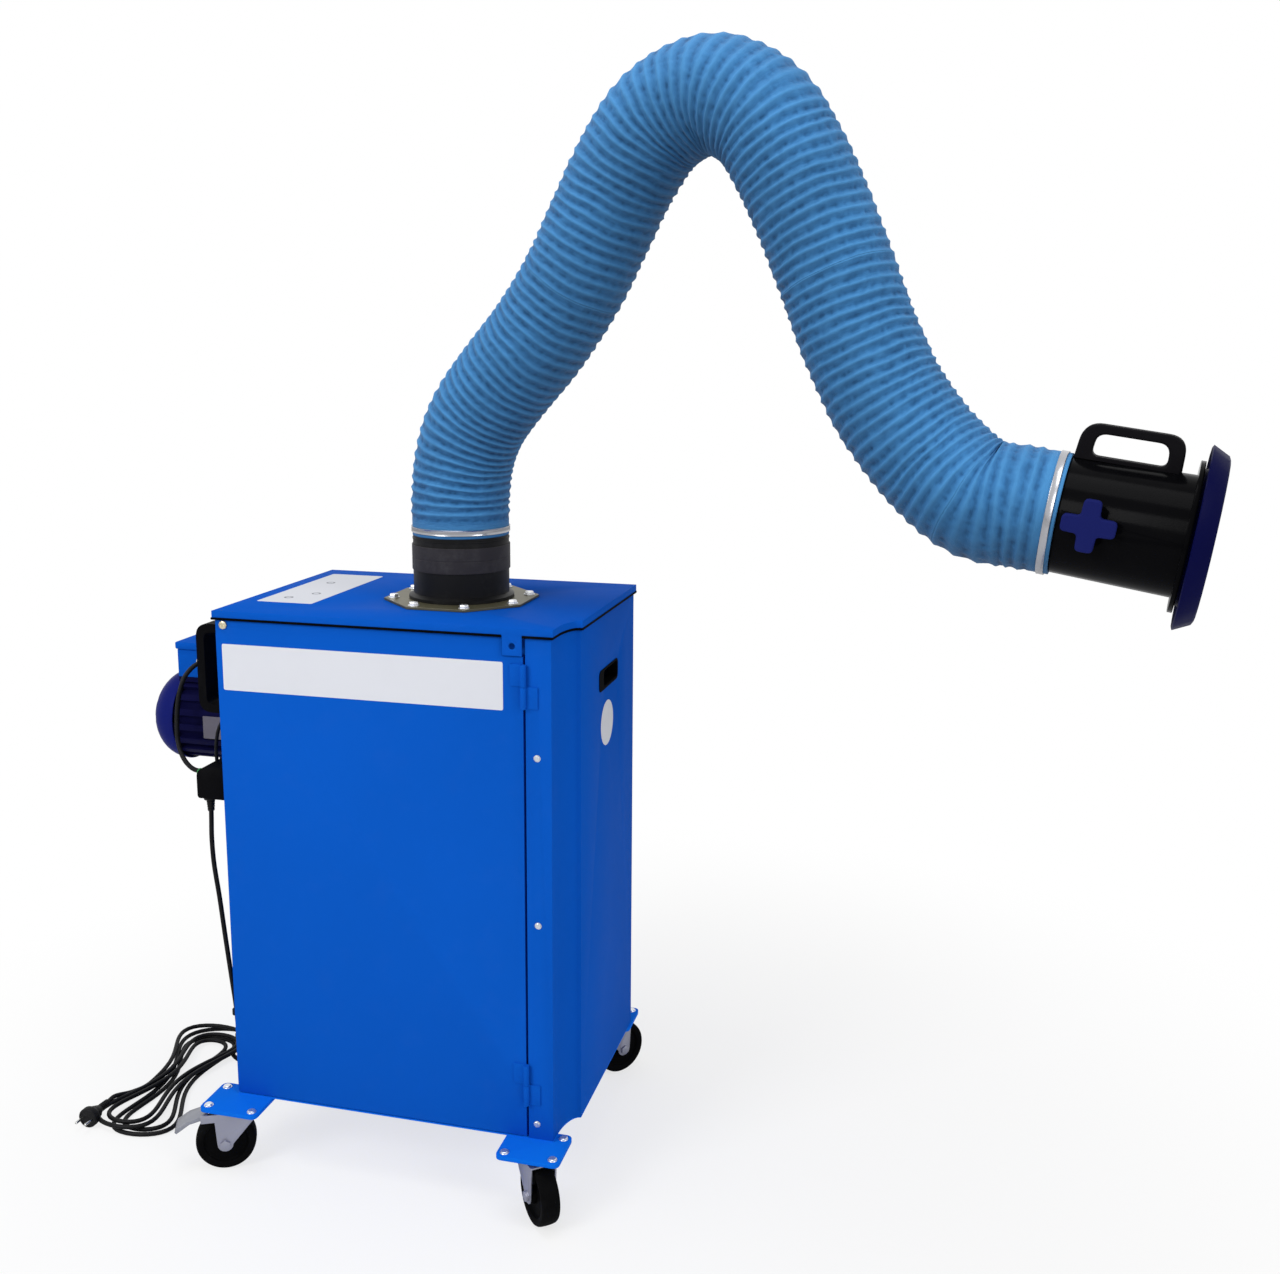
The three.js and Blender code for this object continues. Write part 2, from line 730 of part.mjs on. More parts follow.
function fanScroll() {
  const x1 = scrollLeft + scrollWidth;
  const wall = sheet;
  const shaftHole = spun(rod(2 * shaftRadius, 0, 2 * overrun, 16), ...zToX);
  const eye = spun(rod(scrollEye, 0, 2 * overrun, 28), ...zToX);
  return cut(acrossX(scrollOutline(0), scrollLeft, x1),
    acrossX(scrollOutline(wall), scrollLeft + wall, x1 - wall),
    moved(shaftHole, scrollLeft - overrun, 0, motorHeight),
    moved(eye, x1 - overrun, 0, motorHeight));
}

const impellerSetIn = 14;
const impellerX = scrollLeft + impellerSetIn;
const hubRadius = 24;

function impeller() {
  const blades = 7;
  const bladeThickness = 3;
  const bladeInner = 92;
  const sweepAngle = 0.75;
  const hubLength = 40;
  const shroudThickness = 2;
  const steps = 2;
  const backplate = rod(impellerRadius, 0, shroudThickness, 22);
  const hub = rod(hubRadius, 0, hubLength, 12);
  const shroud = ring(bladeInner - shroudThickness, impellerRadius, impellerWidth - shroudThickness,
    impellerWidth, 22);
  let wheel = joined(backplate, hub, shroud);
  const innerSide = [];
  const outerSide = [];
  for (let i = 0; i <= steps; i += 1) {
    const r = bladeInner + (impellerRadius - bladeInner - shroudThickness) * i / steps;
    const t = sweepAngle * i / steps;
    innerSide.push([r * Math.cos(t), r * Math.sin(t)]);
    outerSide.unshift([r * Math.cos(t) + bladeThickness * Math.sin(t),
      r * Math.sin(t) - bladeThickness * Math.cos(t)]);
  }
  const blade = raised(outline([...innerSide, ...outerSide]), shroudThickness / 2,
    impellerWidth - shroudThickness / 2);
  for (let i = 0; i < blades; i += 1) {
    wheel = wheel.add(spun(blade, 0, 0, 360 * i / blades));
  }
  wheel = cut(wheel, rod(shaftRadius + turningGap, -overrun, hubLength + overrun, 16));
  return moved(spun(wheel, ...zToX), impellerX, 0, motorHeight);
}

const cowlBack = motorEnd - cowlLength;
const coolingFanSetBack = 34;
const coolingFanX = motorEnd - coolingFanSetBack;

function motorShaft() {
  const collarRadius = 13;
  const collarThickness = 4;
  const stub = 8;
  const nutSetIn = 6;
  const start = coolingFanX - stub;
  const end = impellerX + impellerWidth - nutSetIn;
  const nutRadius = 12;
  const nutThickness = 5;
  const turnedShaft = turned([[0, start], [shaftRadius, start], [shaftRadius, end], [nutRadius, end],
    [nutRadius, end + nutThickness], [0, end + nutThickness]], 16);
  const stop = rod(collarRadius, impellerX - seatGap - collarThickness, impellerX - seatGap, 16);
  return moved(spun(joined(turnedShaft, stop), ...zToX), 0, 0, motorHeight);
}

function coolingFan() {
  const blades = 6;
  const tip = 68;
  const hub = 18;
  const width = 24;
  const bladeThickness = 2.5;
  let fan = rod(hub, 0, width, 16);
  for (let i = 0; i < blades; i += 1) {
    const blade = box(hub / 2, -bladeThickness / 2, 0, tip, bladeThickness / 2, width);
    fan = fan.add(spun(blade, 0, 0, 360 * i / blades));
  }
  fan = cut(fan, rod(shaftRadius + turningGap, -overrun, width + overrun, 16));
  return moved(spun(fan, ...zToX), coolingFanX, 0, motorHeight);
}

function motorBody() {
  const fins = 18;
  const finDepth = 9;
  const finShare = 0.42;
  const flangeRadius = 80;
  const flangeDepth = 12;
  const points = [];
  for (let i = 0; i < fins; i += 1) {
    for (const [share, r] of [[0, motorRadius], [finShare, motorRadius],
      [finShare, motorRadius - finDepth], [1, motorRadius - finDepth]]) {
      const t = fullTurn * (i + share) / fins;
      points.push([r * Math.cos(t), r * Math.sin(t)]);
    }
  }
  const finned = raised(outline(points), motorEnd, left - seatGap - flangeDepth / 2);
  const flange = rod(flangeRadius, left - seatGap - flangeDepth, left - seatGap, 28);
  const spigot = rod(motorSpigot - seatGap, left - seatGap - sheet, leftInside, 20);
  const plateHalf = 27;
  const plateSetOut = 74;
  const plateLength = 42;
  const plateEnd = left - plateSetOut;
  const plateStart = plateEnd - plateLength;
  const plate = box(-motorRadius, -plateHalf, plateStart, -motorRadius + finDepth, plateHalf, plateEnd);
  const shaftBore = rod(shaftRadius + turningGap, motorEnd - overrun, left + overrun, 16);
  const padHalf = 44;
  const pad = box(-padHalf, motorRadius - finDepth, terminalLeft, padHalf, motorRadius,
    terminalLeft + 2 * padHalf);
  const body = cut(joined(finned, flange, spigot, spun(plate, 0, 0, 90), pad), shaftBore);
  return moved(spun(spun(body, 0, 0, 90), ...zToX), 0, 0, motorHeight);
}

function fanCowl() {
  const wall = 2;
  const lipInner = (motorRadius + seatGap) / bandFlatShare;
  const crownShare = 0.55;
  const shoulderShare = 0.87;
  const curveShare = 0.3;
  const mid = cowlBack + cowlLength * curveShare;
  const profile = [[lipInner, motorEnd + cowlLip], [cowlRadius, motorEnd + cowlLip], [cowlRadius, mid],
    [cowlRadius * shoulderShare, cowlBack + 2 * wall], [cowlRadius * crownShare, cowlBack], [0, cowlBack],
    [0, cowlBack + wall], [cowlRadius * crownShare, cowlBack + wall],
    [cowlRadius * shoulderShare - wall, cowlBack + 3 * wall], [cowlRadius - wall, mid],
    [cowlRadius - wall, motorEnd - wall], [lipInner, motorEnd - wall]];
  let cowl = turned(profile, bandSegments, true);
  const slots = 6;
  const slotWidth = 11;
  const slotInner = 18;
  const slotOuter = 52;
  for (let i = 0; i < slots; i += 1) {
    const slot = box(slotInner, -slotWidth / 2, cowlBack - overrun, slotOuter, slotWidth / 2,
      cowlBack + 3 * wall);
    cowl = cowl.subtract(spun(slot, 0, 0, 360 * i / slots));
  }
  return moved(spun(cowl, ...zToX), 0, 0, motorHeight);
}

const terminalLeft = motorEnd + cowlLip + seatGap;
const terminalLength = 94;
const terminalWidth = 92;
const terminalBase = motorHeight + motorRadius + seatGap;
const terminalHeight = 50;
const terminalLidHeight = 12;
const glandSetIn = 57;
const glandLift = 32.7;
const glandX = terminalLeft + glandSetIn - seatGap;
const glandZ = terminalBase + glandLift;

function terminalBox() {
  return box(terminalLeft, -terminalWidth / 2, terminalBase,
    terminalLeft + terminalLength, terminalWidth / 2, terminalBase + terminalHeight);
}

function terminalLid() {
  const overlap = 4;
  const corner = 8;
  const z0 = terminalBase + terminalHeight + seatGap;
  const shape = roundedBox(terminalLength + 2 * overlap, terminalWidth + 2 * overlap, corner);
  return moved(raised(shape, z0, z0 + terminalLidHeight, 3), terminalLeft + terminalLength / 2, 0, 0);
}

const glandReach = 16;

function terminalGland() {
  const nut = 13;
  const nutDepth = 8;
  const cap = 10;
  const body = joined(rod(nut, 0, nutDepth, 6), rod(cap, nutDepth - seatGap, glandReach, 12));
  const hole = rod(flexRadius + turningGap, glandReach - nutDepth, glandReach + overrun, 10);
  return moved(spun(cut(body, hole), 90, 0, 0), glandX, -terminalWidth / 2 - seatGap, glandZ);
}

// Motor switch on the left panel, its top rounded forward, with two sprung push buttons.
const switchY = -169;
const switchWidth = 54;
const switchDrop = 87;
const switchBase = motorHeight - switchDrop;
const switchHeight = 53;
const switchReach = 57;
const buttonRadius = 8;
const buttonTravel = 4;
const startRise = 38;
const stopRise = 15;
const buttonAside = 10;
const startZ = switchBase + startRise;
const stopZ = switchBase + stopRise;
const buttonY = switchY - buttonAside;
const buttonDepth = 9;
const buttonStandOff = 6;

function switchBox() {
  const topCurve = 16;
  const lowCurve = 5;
  const w = switchReach;
  const shape = new THREE.Shape();
  shape.moveTo(0, 0);
  shape.lineTo(-w + lowCurve, 0);
  shape.absarc(-w + lowCurve, lowCurve, lowCurve, -quarterTurn, halfTurn, true);
  shape.lineTo(-w, switchHeight - topCurve);
  shape.absarc(-w + topCurve, switchHeight - topCurve, topCurve, halfTurn, quarterTurn, true);
  shape.lineTo(0, switchHeight);
  const casing = moved(acrossY(shape, switchY - switchWidth / 2, switchY + switchWidth / 2, 5),
    left - seatGap, 0, switchBase);
  const well = spun(rod(buttonRadius + turningGap, -overrun, buttonDepth, 14), ...zToX);
  const faceX = left - seatGap - switchReach;
  return cut(casing, moved(well, faceX, buttonY, startZ), moved(well, faceX, buttonY, stopZ));
}

function pushButton(z) {
  const clear = 0.5;
  const inner = buttonDepth - clear - buttonTravel;
  const crown = 1.5;
  const faceX = left - seatGap - switchReach;
  const cap = turned([[0, -buttonStandOff], [buttonRadius - crown, -buttonStandOff],
    [buttonRadius, -buttonStandOff + crown], [buttonRadius, inner], [0, inner]], 14);
  return moved(spun(cap, ...zToX), faceX, buttonY, z);
}

// Push handle: a round bar bowed out from the left panel on two feet.
const handleY = -174;
const handleLow = 793;
const handleHigh = 918;
const handleRadius = 10;
const handleReach = 40;
const handleBend = 26;

function bowHandle() {
  const sides = 8;
  const x0 = left - seatGap;
  const x1 = x0 - handleReach;
  const path = new THREE.CurvePath();
  const at = (x, z) => new THREE.Vector3(x, handleY, z);
  path.add(new THREE.LineCurve3(at(x0, handleHigh), at(x1 + handleBend, handleHigh)));
  path.add(new THREE.QuadraticBezierCurve3(at(x1 + handleBend, handleHigh), at(x1, handleHigh),
    at(x1, handleHigh - handleBend)));
  path.add(new THREE.LineCurve3(at(x1, handleHigh - handleBend), at(x1, handleLow + handleBend)));
  path.add(new THREE.QuadraticBezierCurve3(at(x1, handleLow + handleBend), at(x1, handleLow),
    at(x1 + handleBend, handleLow)));
  path.add(new THREE.LineCurve3(at(x1 + handleBend, handleLow), at(x0, handleLow)));
  const bar = solid(new THREE.ExtrudeGeometry(circleShape(handleRadius, sides),
    { extrudePath: path, steps: 16, bevelEnabled: false }));
  const footRadius = 16;
  const footThickness = 3;
  const foot = spun(rod(footRadius, -footThickness, 0, 12), ...zToX);
  return joined(bar, moved(foot, x0, handleY, handleHigh), moved(foot, x0, handleY, handleLow));
}

function circleShape(radius, sides) {
  const points = [];
  for (let i = 0; i < sides; i += 1) {
    const t = fullTurn * i / sides;
    points.push([radius * Math.cos(t), radius * Math.sin(t)]);
  }
  return outline(points);
}

// A round lead along hand-placed points, with a step every two or three diameters.
function lead(points, radius, sides) {
  const curve = new THREE.CatmullRomCurve3(points, false, 'centripetal');
  const stretchShare = 5.5;
  const steps = Math.ceil(curve.getLength() / (stretchShare * radius));
  return solid(new THREE.ExtrudeGeometry(circleShape(radius, sides),
    { extrudePath: curve, steps, bevelEnabled: false }));
}

// Places between two ends of a lead, each as shares of the way along, across and down.
function between(start, end, places) {
  return places.map(([x, y, z]) => new THREE.Vector3(start.x + (end.x - start.x) * x,
    start.y + (end.y - start.y) * y, start.z + (end.z - start.z) * z));
}

const flexEntryY = -151;
const flexEntryRise = 31;
const flexShares = [
  [-0.0631, 0.1742, 0.0181], [-0.2208, 0.3326, 0.1145], [-0.3155, 0.4344, 0.2651],
  [-0.347, 0.5136, 0.4458], [-0.3155, 0.5928, 0.6084], [-0.2366, 0.6719, 0.7711],
  [-0.0473, 0.7738, 0.8916], [0.2208, 0.8869, 0.9639], [0.5205, 0.9774, 0.997], [0.9369, 1, 1]];

function motorFlex() {
  const start = new THREE.Vector3(glandX, -terminalWidth / 2 - seatGap - glandReach - seatGap, glandZ);
  const end = new THREE.Vector3(left - seatGap - switchReach - seatGap, flexEntryY, switchBase + flexEntryRise);
  return lead([start, ...between(start, end, flexShares), end], flexRadius, 8);
}

const controlY = -148;
const controlRise = 78;
const controlSetOut = 38.7;
const controlAside = 13;
const controlShares = [
  [0.3282, 0, 0], [0.7158, 0.1538, 0.0772], [0.9483, 0.3846, 0.2703], [1.0258, 0.6923, 0.5148],
  [1.0258, 0.9231, 0.7593]];

function controlLead() {
  const switchTop = switchBase + switchHeight;
  const start = new THREE.Vector3(left - seatGap, controlY, switchTop + controlRise);
  const end = new THREE.Vector3(start.x - controlSetOut, controlY - controlAside, switchTop + seatGap);
  return lead([start, ...between(start, end, controlShares), end], controlRadius, 8);
}

const mainsGlandSetOut = 44;
const mainsGlandX = left - mainsGlandSetOut;
const mainsGlandY = -178;
const mainsGlandLength = 26;

// Tapered strain relief under the switch.
function mainsGland() {
  const nut = 11;
  const nutHeight = 6;
  const sleeve = 7.5;
  const tip = 5.5;
  const top = switchBase - seatGap;
  const low = top - mainsGlandLength;
  const body = turned([[0, low], [tip, low], [sleeve, top - nutHeight], [nut, top - nutHeight],
    [nut, top], [0, top]], 12);
  return moved(body, mainsGlandX, mainsGlandY, 0);
}

// Hank of mains lead on the floor: loops drawn in at the waist, spiralling in on the floor
// and out again one layer higher, as one unbroken tube.
const hankTurns = 4.4;
const hankStartAngle = 0.62;
const hankCentreX = -527;
const hankCentreY = 0;
const hankHeading = THREE.MathUtils.degToRad(97.7);
const hankHalfLength = 186;
const hankLengthStep = 34;
const hankWaist = 34;
const hankWaistStep = 27;
const hankSwell = 120;
const hankSwellStep = 46;
const hankLayer = 9.4;
const climbShare = 0.25;
const hankStepsPerLoop = 23;
const hankSides = 6;

function hankPoint(turn) {
  const middle = hankTurns / 2;
  const inward = 1 - Math.abs(turn - middle) / middle;
  const climb = THREE.MathUtils.smoothstep(turn, middle - climbShare, middle + climbShare);
  const angle = hankStartAngle + fullTurn * turn;
  const sine = Math.sin(angle);
  const along = (hankHalfLength - hankLengthStep * inward) * sine;
  const swell = hankSwell - hankSwellStep * inward;
  const aside = Math.cos(angle) * (hankWaist - hankWaistStep * inward + swell * sine * sine);
  const point = new THREE.Vector3(Math.sin(hankHeading) * aside + Math.cos(hankHeading) * along,
    Math.sin(hankHeading) * along - Math.cos(hankHeading) * aside, leadRest + hankLayer * climb);
  return point.add(new THREE.Vector3(hankCentreX, hankCentreY, 0));
}

function hankTangent(turn) {
  const small = 0.002;
  return hankPoint(turn + small).sub(hankPoint(turn - small)).normalize();
}

function sweptTube(points, tangents, radius, sides) {
  const positions = [];
  const faces = [];
  const up = new THREE.Vector3(0, 0, 1);
  points.forEach((point, i) => {
    const side = new THREE.Vector3().crossVectors(up, tangents[i]).normalize();
    const top = new THREE.Vector3().crossVectors(tangents[i], side);
    for (let k = 0; k < sides; k += 1) {
      const t = fullTurn * k / sides;
      const corner = point.clone().addScaledVector(side, radius * Math.cos(t))
        .addScaledVector(top, radius * Math.sin(t));
      positions.push(corner.x, corner.y, corner.z);
    }
  });
  for (let i = 0; i + 1 < points.length; i += 1) {
    for (let k = 0; k < sides; k += 1) {
      const a = i * sides + k;
      const b = i * sides + (k + 1) % sides;
      faces.push(a, b, b + sides, a, b + sides, a + sides);
    }
  }
  const last = (points.length - 1) * sides;
  for (let k = 1; k + 1 < sides; k += 1) {
    faces.push(0, k + 1, k, last, last + k, last + k + 1);
  }
  return indexed(positions, faces);
}

function indexed(positions, faces) {
  const geometry = new THREE.BufferGeometry();
  geometry.setAttribute('position', new THREE.Float32BufferAttribute(positions, 3));
  geometry.setIndex(faces);
  geometry.computeVertexNormals();
  return geometry;
}

function mainsHank() {
  const steps = Math.round(hankTurns * hankStepsPerLoop);
  const points = [];
  const tangents = [];
  for (let i = 0; i <= steps; i += 1) {
    points.push(hankPoint(hankTurns * i / steps));
    tangents.push(hankTangent(hankTurns * i / steps));
  }
  console.log(`least gap in the hank: ${leastGap(points, leadRadius).toFixed(2)} mm`);
  return solid(sweptTube(points, tangents, leadRadius, hankSides));
}

// The least distance between stretches of one tube that aren't neighbours along it.
function leastGap(points, radius) {
  const near = Math.round(hankStepsPerLoop / 3);
  let least = Infinity;
  for (let i = 0; i + 1 < points.length; i += 1) {
    for (let j = i + near; j + 1 < points.length; j += 1) {
      least = Math.min(least, segmentDistance(points[i], points[i + 1], points[j], points[j + 1]));
    }
  }
  return least - 2 * radius;
}

function segmentDistance(a, b, c, d) {
  const samples = 8;
  const first = new THREE.Line3(a, b);
  const second = new THREE.Line3(c, d);
  const p = new THREE.Vector3();
  const q = new THREE.Vector3();
  let least = Infinity;
  for (let i = 0; i <= samples; i += 1) {
    first.at(i / samples, p);
    second.closestPointToPoint(p, true, q);
    least = Math.min(least, p.distanceTo(q));
  }
  return least;
}

// Down the panel's edge from the gland, then away over the floor to the hank.
const mainsShares = [
  [0, -0.0034, 0.0271], [-0.0139, -0.0205, 0.0733], [-0.0416, -0.0341, 0.1426],
  [-0.097, -0.0375, 0.2448], [-0.1524, -0.0409, 0.3636], [-0.2147, -0.0477, 0.4791],
  [-0.2528, -0.0477, 0.5616], [-0.2632, -0.0443, 0.621], [-0.2597, -0.0205, 0.6821],
  [-0.2355, 0.0477, 0.7398], [-0.1732, 0.1501, 0.791], [-0.0831, 0.2762, 0.8405],
  [0.0416, 0.4127, 0.8982], [0.2009, 0.5422, 0.9477], [0.3879, 0.6582, 0.9807],
  [0.5472, 0.7366, 0.9947], [0.6926, 0.8048, 0.9995]];

function mainsLead() {
  const low = switchBase - seatGap - mainsGlandLength - seatGap;
  const gland = new THREE.Vector3(mainsGlandX, mainsGlandY, low);
  const start = hankPoint(0);
  const heading = hankTangent(0);
  const stop = start.clone().addScaledVector(heading, -seatGap);
  const beforeStop = start.clone().addScaledVector(heading, -6 * leadRadius);
  return lead([gland, ...between(gland, start, mainsShares), beforeStop, stop], leadRadius, 8);
}

const plugX = -601;
const plugY = -146;
const plugHeading = THREE.MathUtils.degToRad(-92);

const tailShares = [[0.3266, 0.4414, -0.8043], [0.626, 0.6517, -0.3696]];

function mainsTail() {
  const start = hankPoint(hankTurns);
  const heading = hankTangent(hankTurns);
  const leave = start.clone().addScaledVector(heading, seatGap);
  const on = start.clone().addScaledVector(heading, 5 * leadRadius);
  const entry = plugPoint(-seatGap);
  const beforeEntry = plugPoint(-5 * leadRadius);
  return lead([leave, on, ...between(start, entry, tailShares), beforeEntry, entry], leadRadius, 8);
}

const plugRadius = 18;
const plugHeight = plugRadius + seatGap;

function plugPoint(along) {
  return new THREE.Vector3(plugX + along * Math.cos(plugHeading),
    plugY + along * Math.sin(plugHeading), plugHeight);
}

// Moulded mains plug with its tapered neck, round face and two round pins.
function mainsPlug() {
  const neckLength = 24;
  const bodyLength = 34;
  const neckRadius = 6;
  const grip = 13;
  const pinLength = 19;
  const pinSpacing = 19;
  const plugPin = 2.4;
  const gripShare = 0.6;
  const body = turned([[0, 0], [neckRadius, 0], [neckRadius + 1, neckLength], [grip, neckLength + grip],
    [plugRadius, neckLength + bodyLength * gripShare], [plugRadius, neckLength + bodyLength],
    [0, neckLength + bodyLength]], 16);
  let plug = body;
  for (const side of [-1, 1]) {
    plug = plug.add(moved(rod(plugPin, neckLength + bodyLength - plugPin,
      neckLength + bodyLength + pinLength, 8), 0, side * pinSpacing / 2, 0));
  }
  const lying = spun(spun(plug, ...zToX), 0, 0, THREE.MathUtils.radToDeg(plugHeading));
  return moved(lying, plugX, plugY, plugHeight);
}

// Louvred outlet over the hole in the back panel.
function exhaustGrille() {
  const border = 12;
  const thickness = 3;
  const slats = 7;
  const frame = box(-exhaustWidth / 2 - border, 0, -exhaustHeight / 2 - border,
    exhaustWidth / 2 + border, thickness, exhaustHeight / 2 + border);
  let grille = frame;
  const pitch = exhaustHeight / slats;
  const slatShare = 0.45;
  for (let i = 0; i < slats; i += 1) {
    const z = -exhaustHeight / 2 + pitch * (i + 0.5);
    grille = grille.subtract(box(-exhaustWidth / 2, -overrun, z - pitch * slatShare / 2,
      exhaustWidth / 2, overrun, z + pitch * slatShare / 2));
  }
  return moved(grille, exhaustX, back + seatGap, exhaustZ);
}

// Inlet: an eight-sided plate, bolted round its rim, and the fixed collar on it.
function inletFlange() {
  const corner = flangeAcross / 2 / Math.cos(halfTurn / 8);
  const boltRadius = 8;
  const boltHeight = 6;
  const points = [];
  for (let i = 0; i < 8; i += 1) {
    const t = fullTurn * (i + 0.5) / 8;
    points.push([corner * Math.cos(t), corner * Math.sin(t)]);
  }
  let plate = raised(outline(points), 0, flangeThickness);
  plate = plate.subtract(rod(ductRadius - 2 * ductWall, -overrun, overrun, 24));
  for (let i = 0; i < 8; i += 1) {
    const t = fullTurn * i / 8;
    plate = plate.add(moved(rod(boltRadius, flangeThickness / 2, flangeThickness + boltHeight, 6),
      flangeBoltCircle * Math.cos(t), flangeBoltCircle * Math.sin(t), 0));
  }
  return moved(plate, inletX, 0, cabinetTop + seatGap);
}

const collarBase = cabinetTop + seatGap + flangeThickness + seatGap;
const sleeveBase = collarBase + collarHeight + seatGap;
const sleeveTop = sleeveBase + sleeveBandHeight + sleeveRingHeight;
const spigotRadius = (ductRadius - ductWall) * ductFlatShare - turningGap;

function inletCollar() {
  const footRadius = 88;
  const footHeight = 5;
  const lip = 4;
  return moved(turned([[ductRadius - ductWall, 0], [footRadius, 0], [footRadius, footHeight],
    [ductRadius, footHeight + lip], [ductRadius, collarHeight], [ductRadius - ductWall, collarHeight]],
  ductSegments, true), inletX, 0, collarBase);
}

// Turning sleeve: its spigot runs in the collar and its ring carries the hose.
function swivelSleeve() {
  const spigotDepth = 26;
  const bandStep = 1.5;
  const ringStep = 0.5;
  const bandRadius = ductRadius + bandStep;
  const inner = spigotRadius - ductWall;
  return turned([[inner, -spigotDepth], [spigotRadius, -spigotDepth], [spigotRadius, 0], [bandRadius, 0],
    [bandRadius, sleeveBandHeight], [ductRadius - ringStep, sleeveBandHeight],
    [ductRadius - ringStep, sleeveTop - sleeveBase], [inner, sleeveTop - sleeveBase]], ductSegments, true);
}

// Worm-drive band round the hose's end.
function hoseClamp(start, width) {
  const inner = (hoseCuff + seatGap) / bandFlatShare;
  const bandThickness = 1.5;
  const screwLength = 24;
  const screwHeight = 9;
  const band = ring(inner, inner + bandThickness, start, start + width, bandSegments);
  const housing = box(-screwLength / 2, -inner - screwHeight, start + sheet / 2,
    screwLength / 2, -inner - bandThickness / 2, start + width - sheet / 2);
  return joined(band, housing);
}

// Inner arm, in a frame with X along the arm's heading, Y across it and Z up.
function shoulderBracket() {
  const barDrop = 34;
  const barZ = sleeveTop - sleeveBase - barDrop;
  const barThickness = 6;
  const barWidth = 30;
  const reach = spigotRadius - ductWall - seatGap;
  const earThickness = 4;
  const earInside = linkWidth / 2 + seatGap;
  const rise = shoulderHeight - sleeveBase;
  const earMargin = 1;
  const earRadius = linkHeight / 2 + earMargin;
  const bar = box(-barWidth / 2, -reach + earThickness, barZ, barWidth / 2, reach - earThickness,
    barZ + barThickness);
  const endWall = box(-barWidth / 2, -reach, barZ, barWidth / 2, reach, barZ + barThickness);
  const round = rod(reach, barZ - overrun, barZ + overrun, 32);
  const side = new THREE.Shape();
  side.moveTo(-barWidth / 2, barZ);
  side.lineTo(barWidth / 2, barZ);
  side.lineTo(earRadius, rise);
  side.absarc(0, rise, earRadius, 0, halfTurn, false);
  const ear = acrossY(side, earInside, earInside + earThickness, 4);
  const farEar = acrossY(side, -earInside - earThickness, -earInside, 4);
  const pin = spun(rod(pinRadius, -earInside - earThickness, earInside + earThickness, 10), ...zToY);
  return joined(bar, endWall.intersect(round), ear, farEar, moved(pin, 0, 0, rise));
}

function pinBore(radius) {
  const sides = 10;
  const corner = (radius + turningGap) / Math.cos(halfTurn / sides);
  return spun(rod(corner, -2 * overrun, 2 * overrun, sides), ...zToY);
}

function lowerLink() {
  const neck = 34;
  const half = linkHeight / 2;
  const bar = acrossY(barOutline(lowerLinkLength - neck, half, half), -linkWidth / 2, linkWidth / 2, 4);
  const square = box(lowerLinkLength - neck, -linkWidth / 2, -half, lowerLinkLength - neck + half,
    linkWidth / 2, half);
  const tongue = acrossY(barOutline(lowerLinkLength, half, half), -tongueWidth / 2, tongueWidth / 2, 4);
  const pin = spun(rod(pinRadius, -linkWidth / 2, linkWidth / 2, 10), ...zToY);
  const body = cut(joined(bar, tongue), square.subtract(tongue));
  return joined(cut(body, pinBore(pinRadius)), moved(pin, lowerLinkLength, 0, 0));
}

function upperLink() {
  const neck = 36;
  const half = linkHeight / 2;
  const tipNeck = 20;
  const tipHalf = 10;
  const earInside = tongueWidth / 2 + seatGap;
  const bar = box(neck, -linkWidth / 2, -half, upperLinkLength - tipNeck, linkWidth / 2, half);
  const ears = acrossY(barOutline(neck + half, half, half), -linkWidth / 2, linkWidth / 2, 4);
  const slot = box(-overrun, -earInside, -overrun, neck - sheet, earInside, overrun);
  const tip = moved(acrossY(barOutline(2 * tipNeck, tipHalf, tipHalf), -tongueWidth / 2,
    tongueWidth / 2, 4), upperLinkLength - 2 * tipNeck, 0, 0);
  return cut(joined(cut(joined(bar, ears), slot), tip), pinBore(pinRadius),
    moved(pinBore(swingPinRadius), upperLinkLength, 0, 0));
}

// Hood joint: tilts on the upper link's eye, and carries the upright swing pin's tongue.
function gimbalBlock() {
  const earRadius = 9.5;
  const blockStart = 11;
  const blockEnd = 14;
  const earInside = tongueWidth / 2 + seatGap;
  const half = linkWidth / 2;
  const earOverlap = 5;
  const earTaper = 1;
  const ears = acrossY(barOutline(blockEnd - earRadius + earOverlap, earRadius, earRadius - earTaper),
    -half, half, 4);
  const slot = box(-overrun, -earInside, -overrun, blockStart, earInside, overrun);
  const pin = spun(rod(swingPinRadius, -half, half, 10), ...zToY);
  const block = box(blockStart, -half, -earRadius, blockEnd, half, earRadius);
  const trimmed = cut(ears, slot, box(blockEnd, -overrun, -overrun, blockEnd + overrun, overrun, overrun));
  const tongue = raised(barOutline(swingOffset, earRadius, earRadius), -tongueWidth / 2, tongueWidth / 2, 4);
  const tongueOnly = cut(tongue, box(-overrun, -overrun, -overrun, blockStart, overrun, overrun),
    moved(rod(swingPinRadius + turningGap, -overrun, overrun, 10), swingOffset, 0, 0));
  return joined(trimmed, pin, block, tongueOnly);
}

// Hood, in a frame with X along its axis from the swing pin and Z up across it.
const neckX = hoodSetback - swingOffset;

function alongHood(body) {
  return moved(spun(body, ...zToX), neckX, 0, 0);
}

function hoodTube() {
  const flangeThicknessHere = 6;
  const start = hoodLength - flangeThicknessHere;
  const shell = turned([[hoodNeckRadius - hoodWall, 0], [hoodNeckRadius, 0], [hoodMouthRadius, start],
    [hoodFlangeRadius, start], [hoodFlangeRadius, hoodLength], [hoodMouthRadius - hoodWall, hoodLength]],
  28, true);
  const shaftHole = moved(spun(rod(damperShaft + turningGap, -2 * hoodMouthRadius, 2 * hoodMouthRadius, 12),
    ...zToY), neckX + damperPlace, 0, damperRise);
  return cut(alongHood(shell), shaftHole);
}

const damperShaft = 4;
const damperRadius = 66;

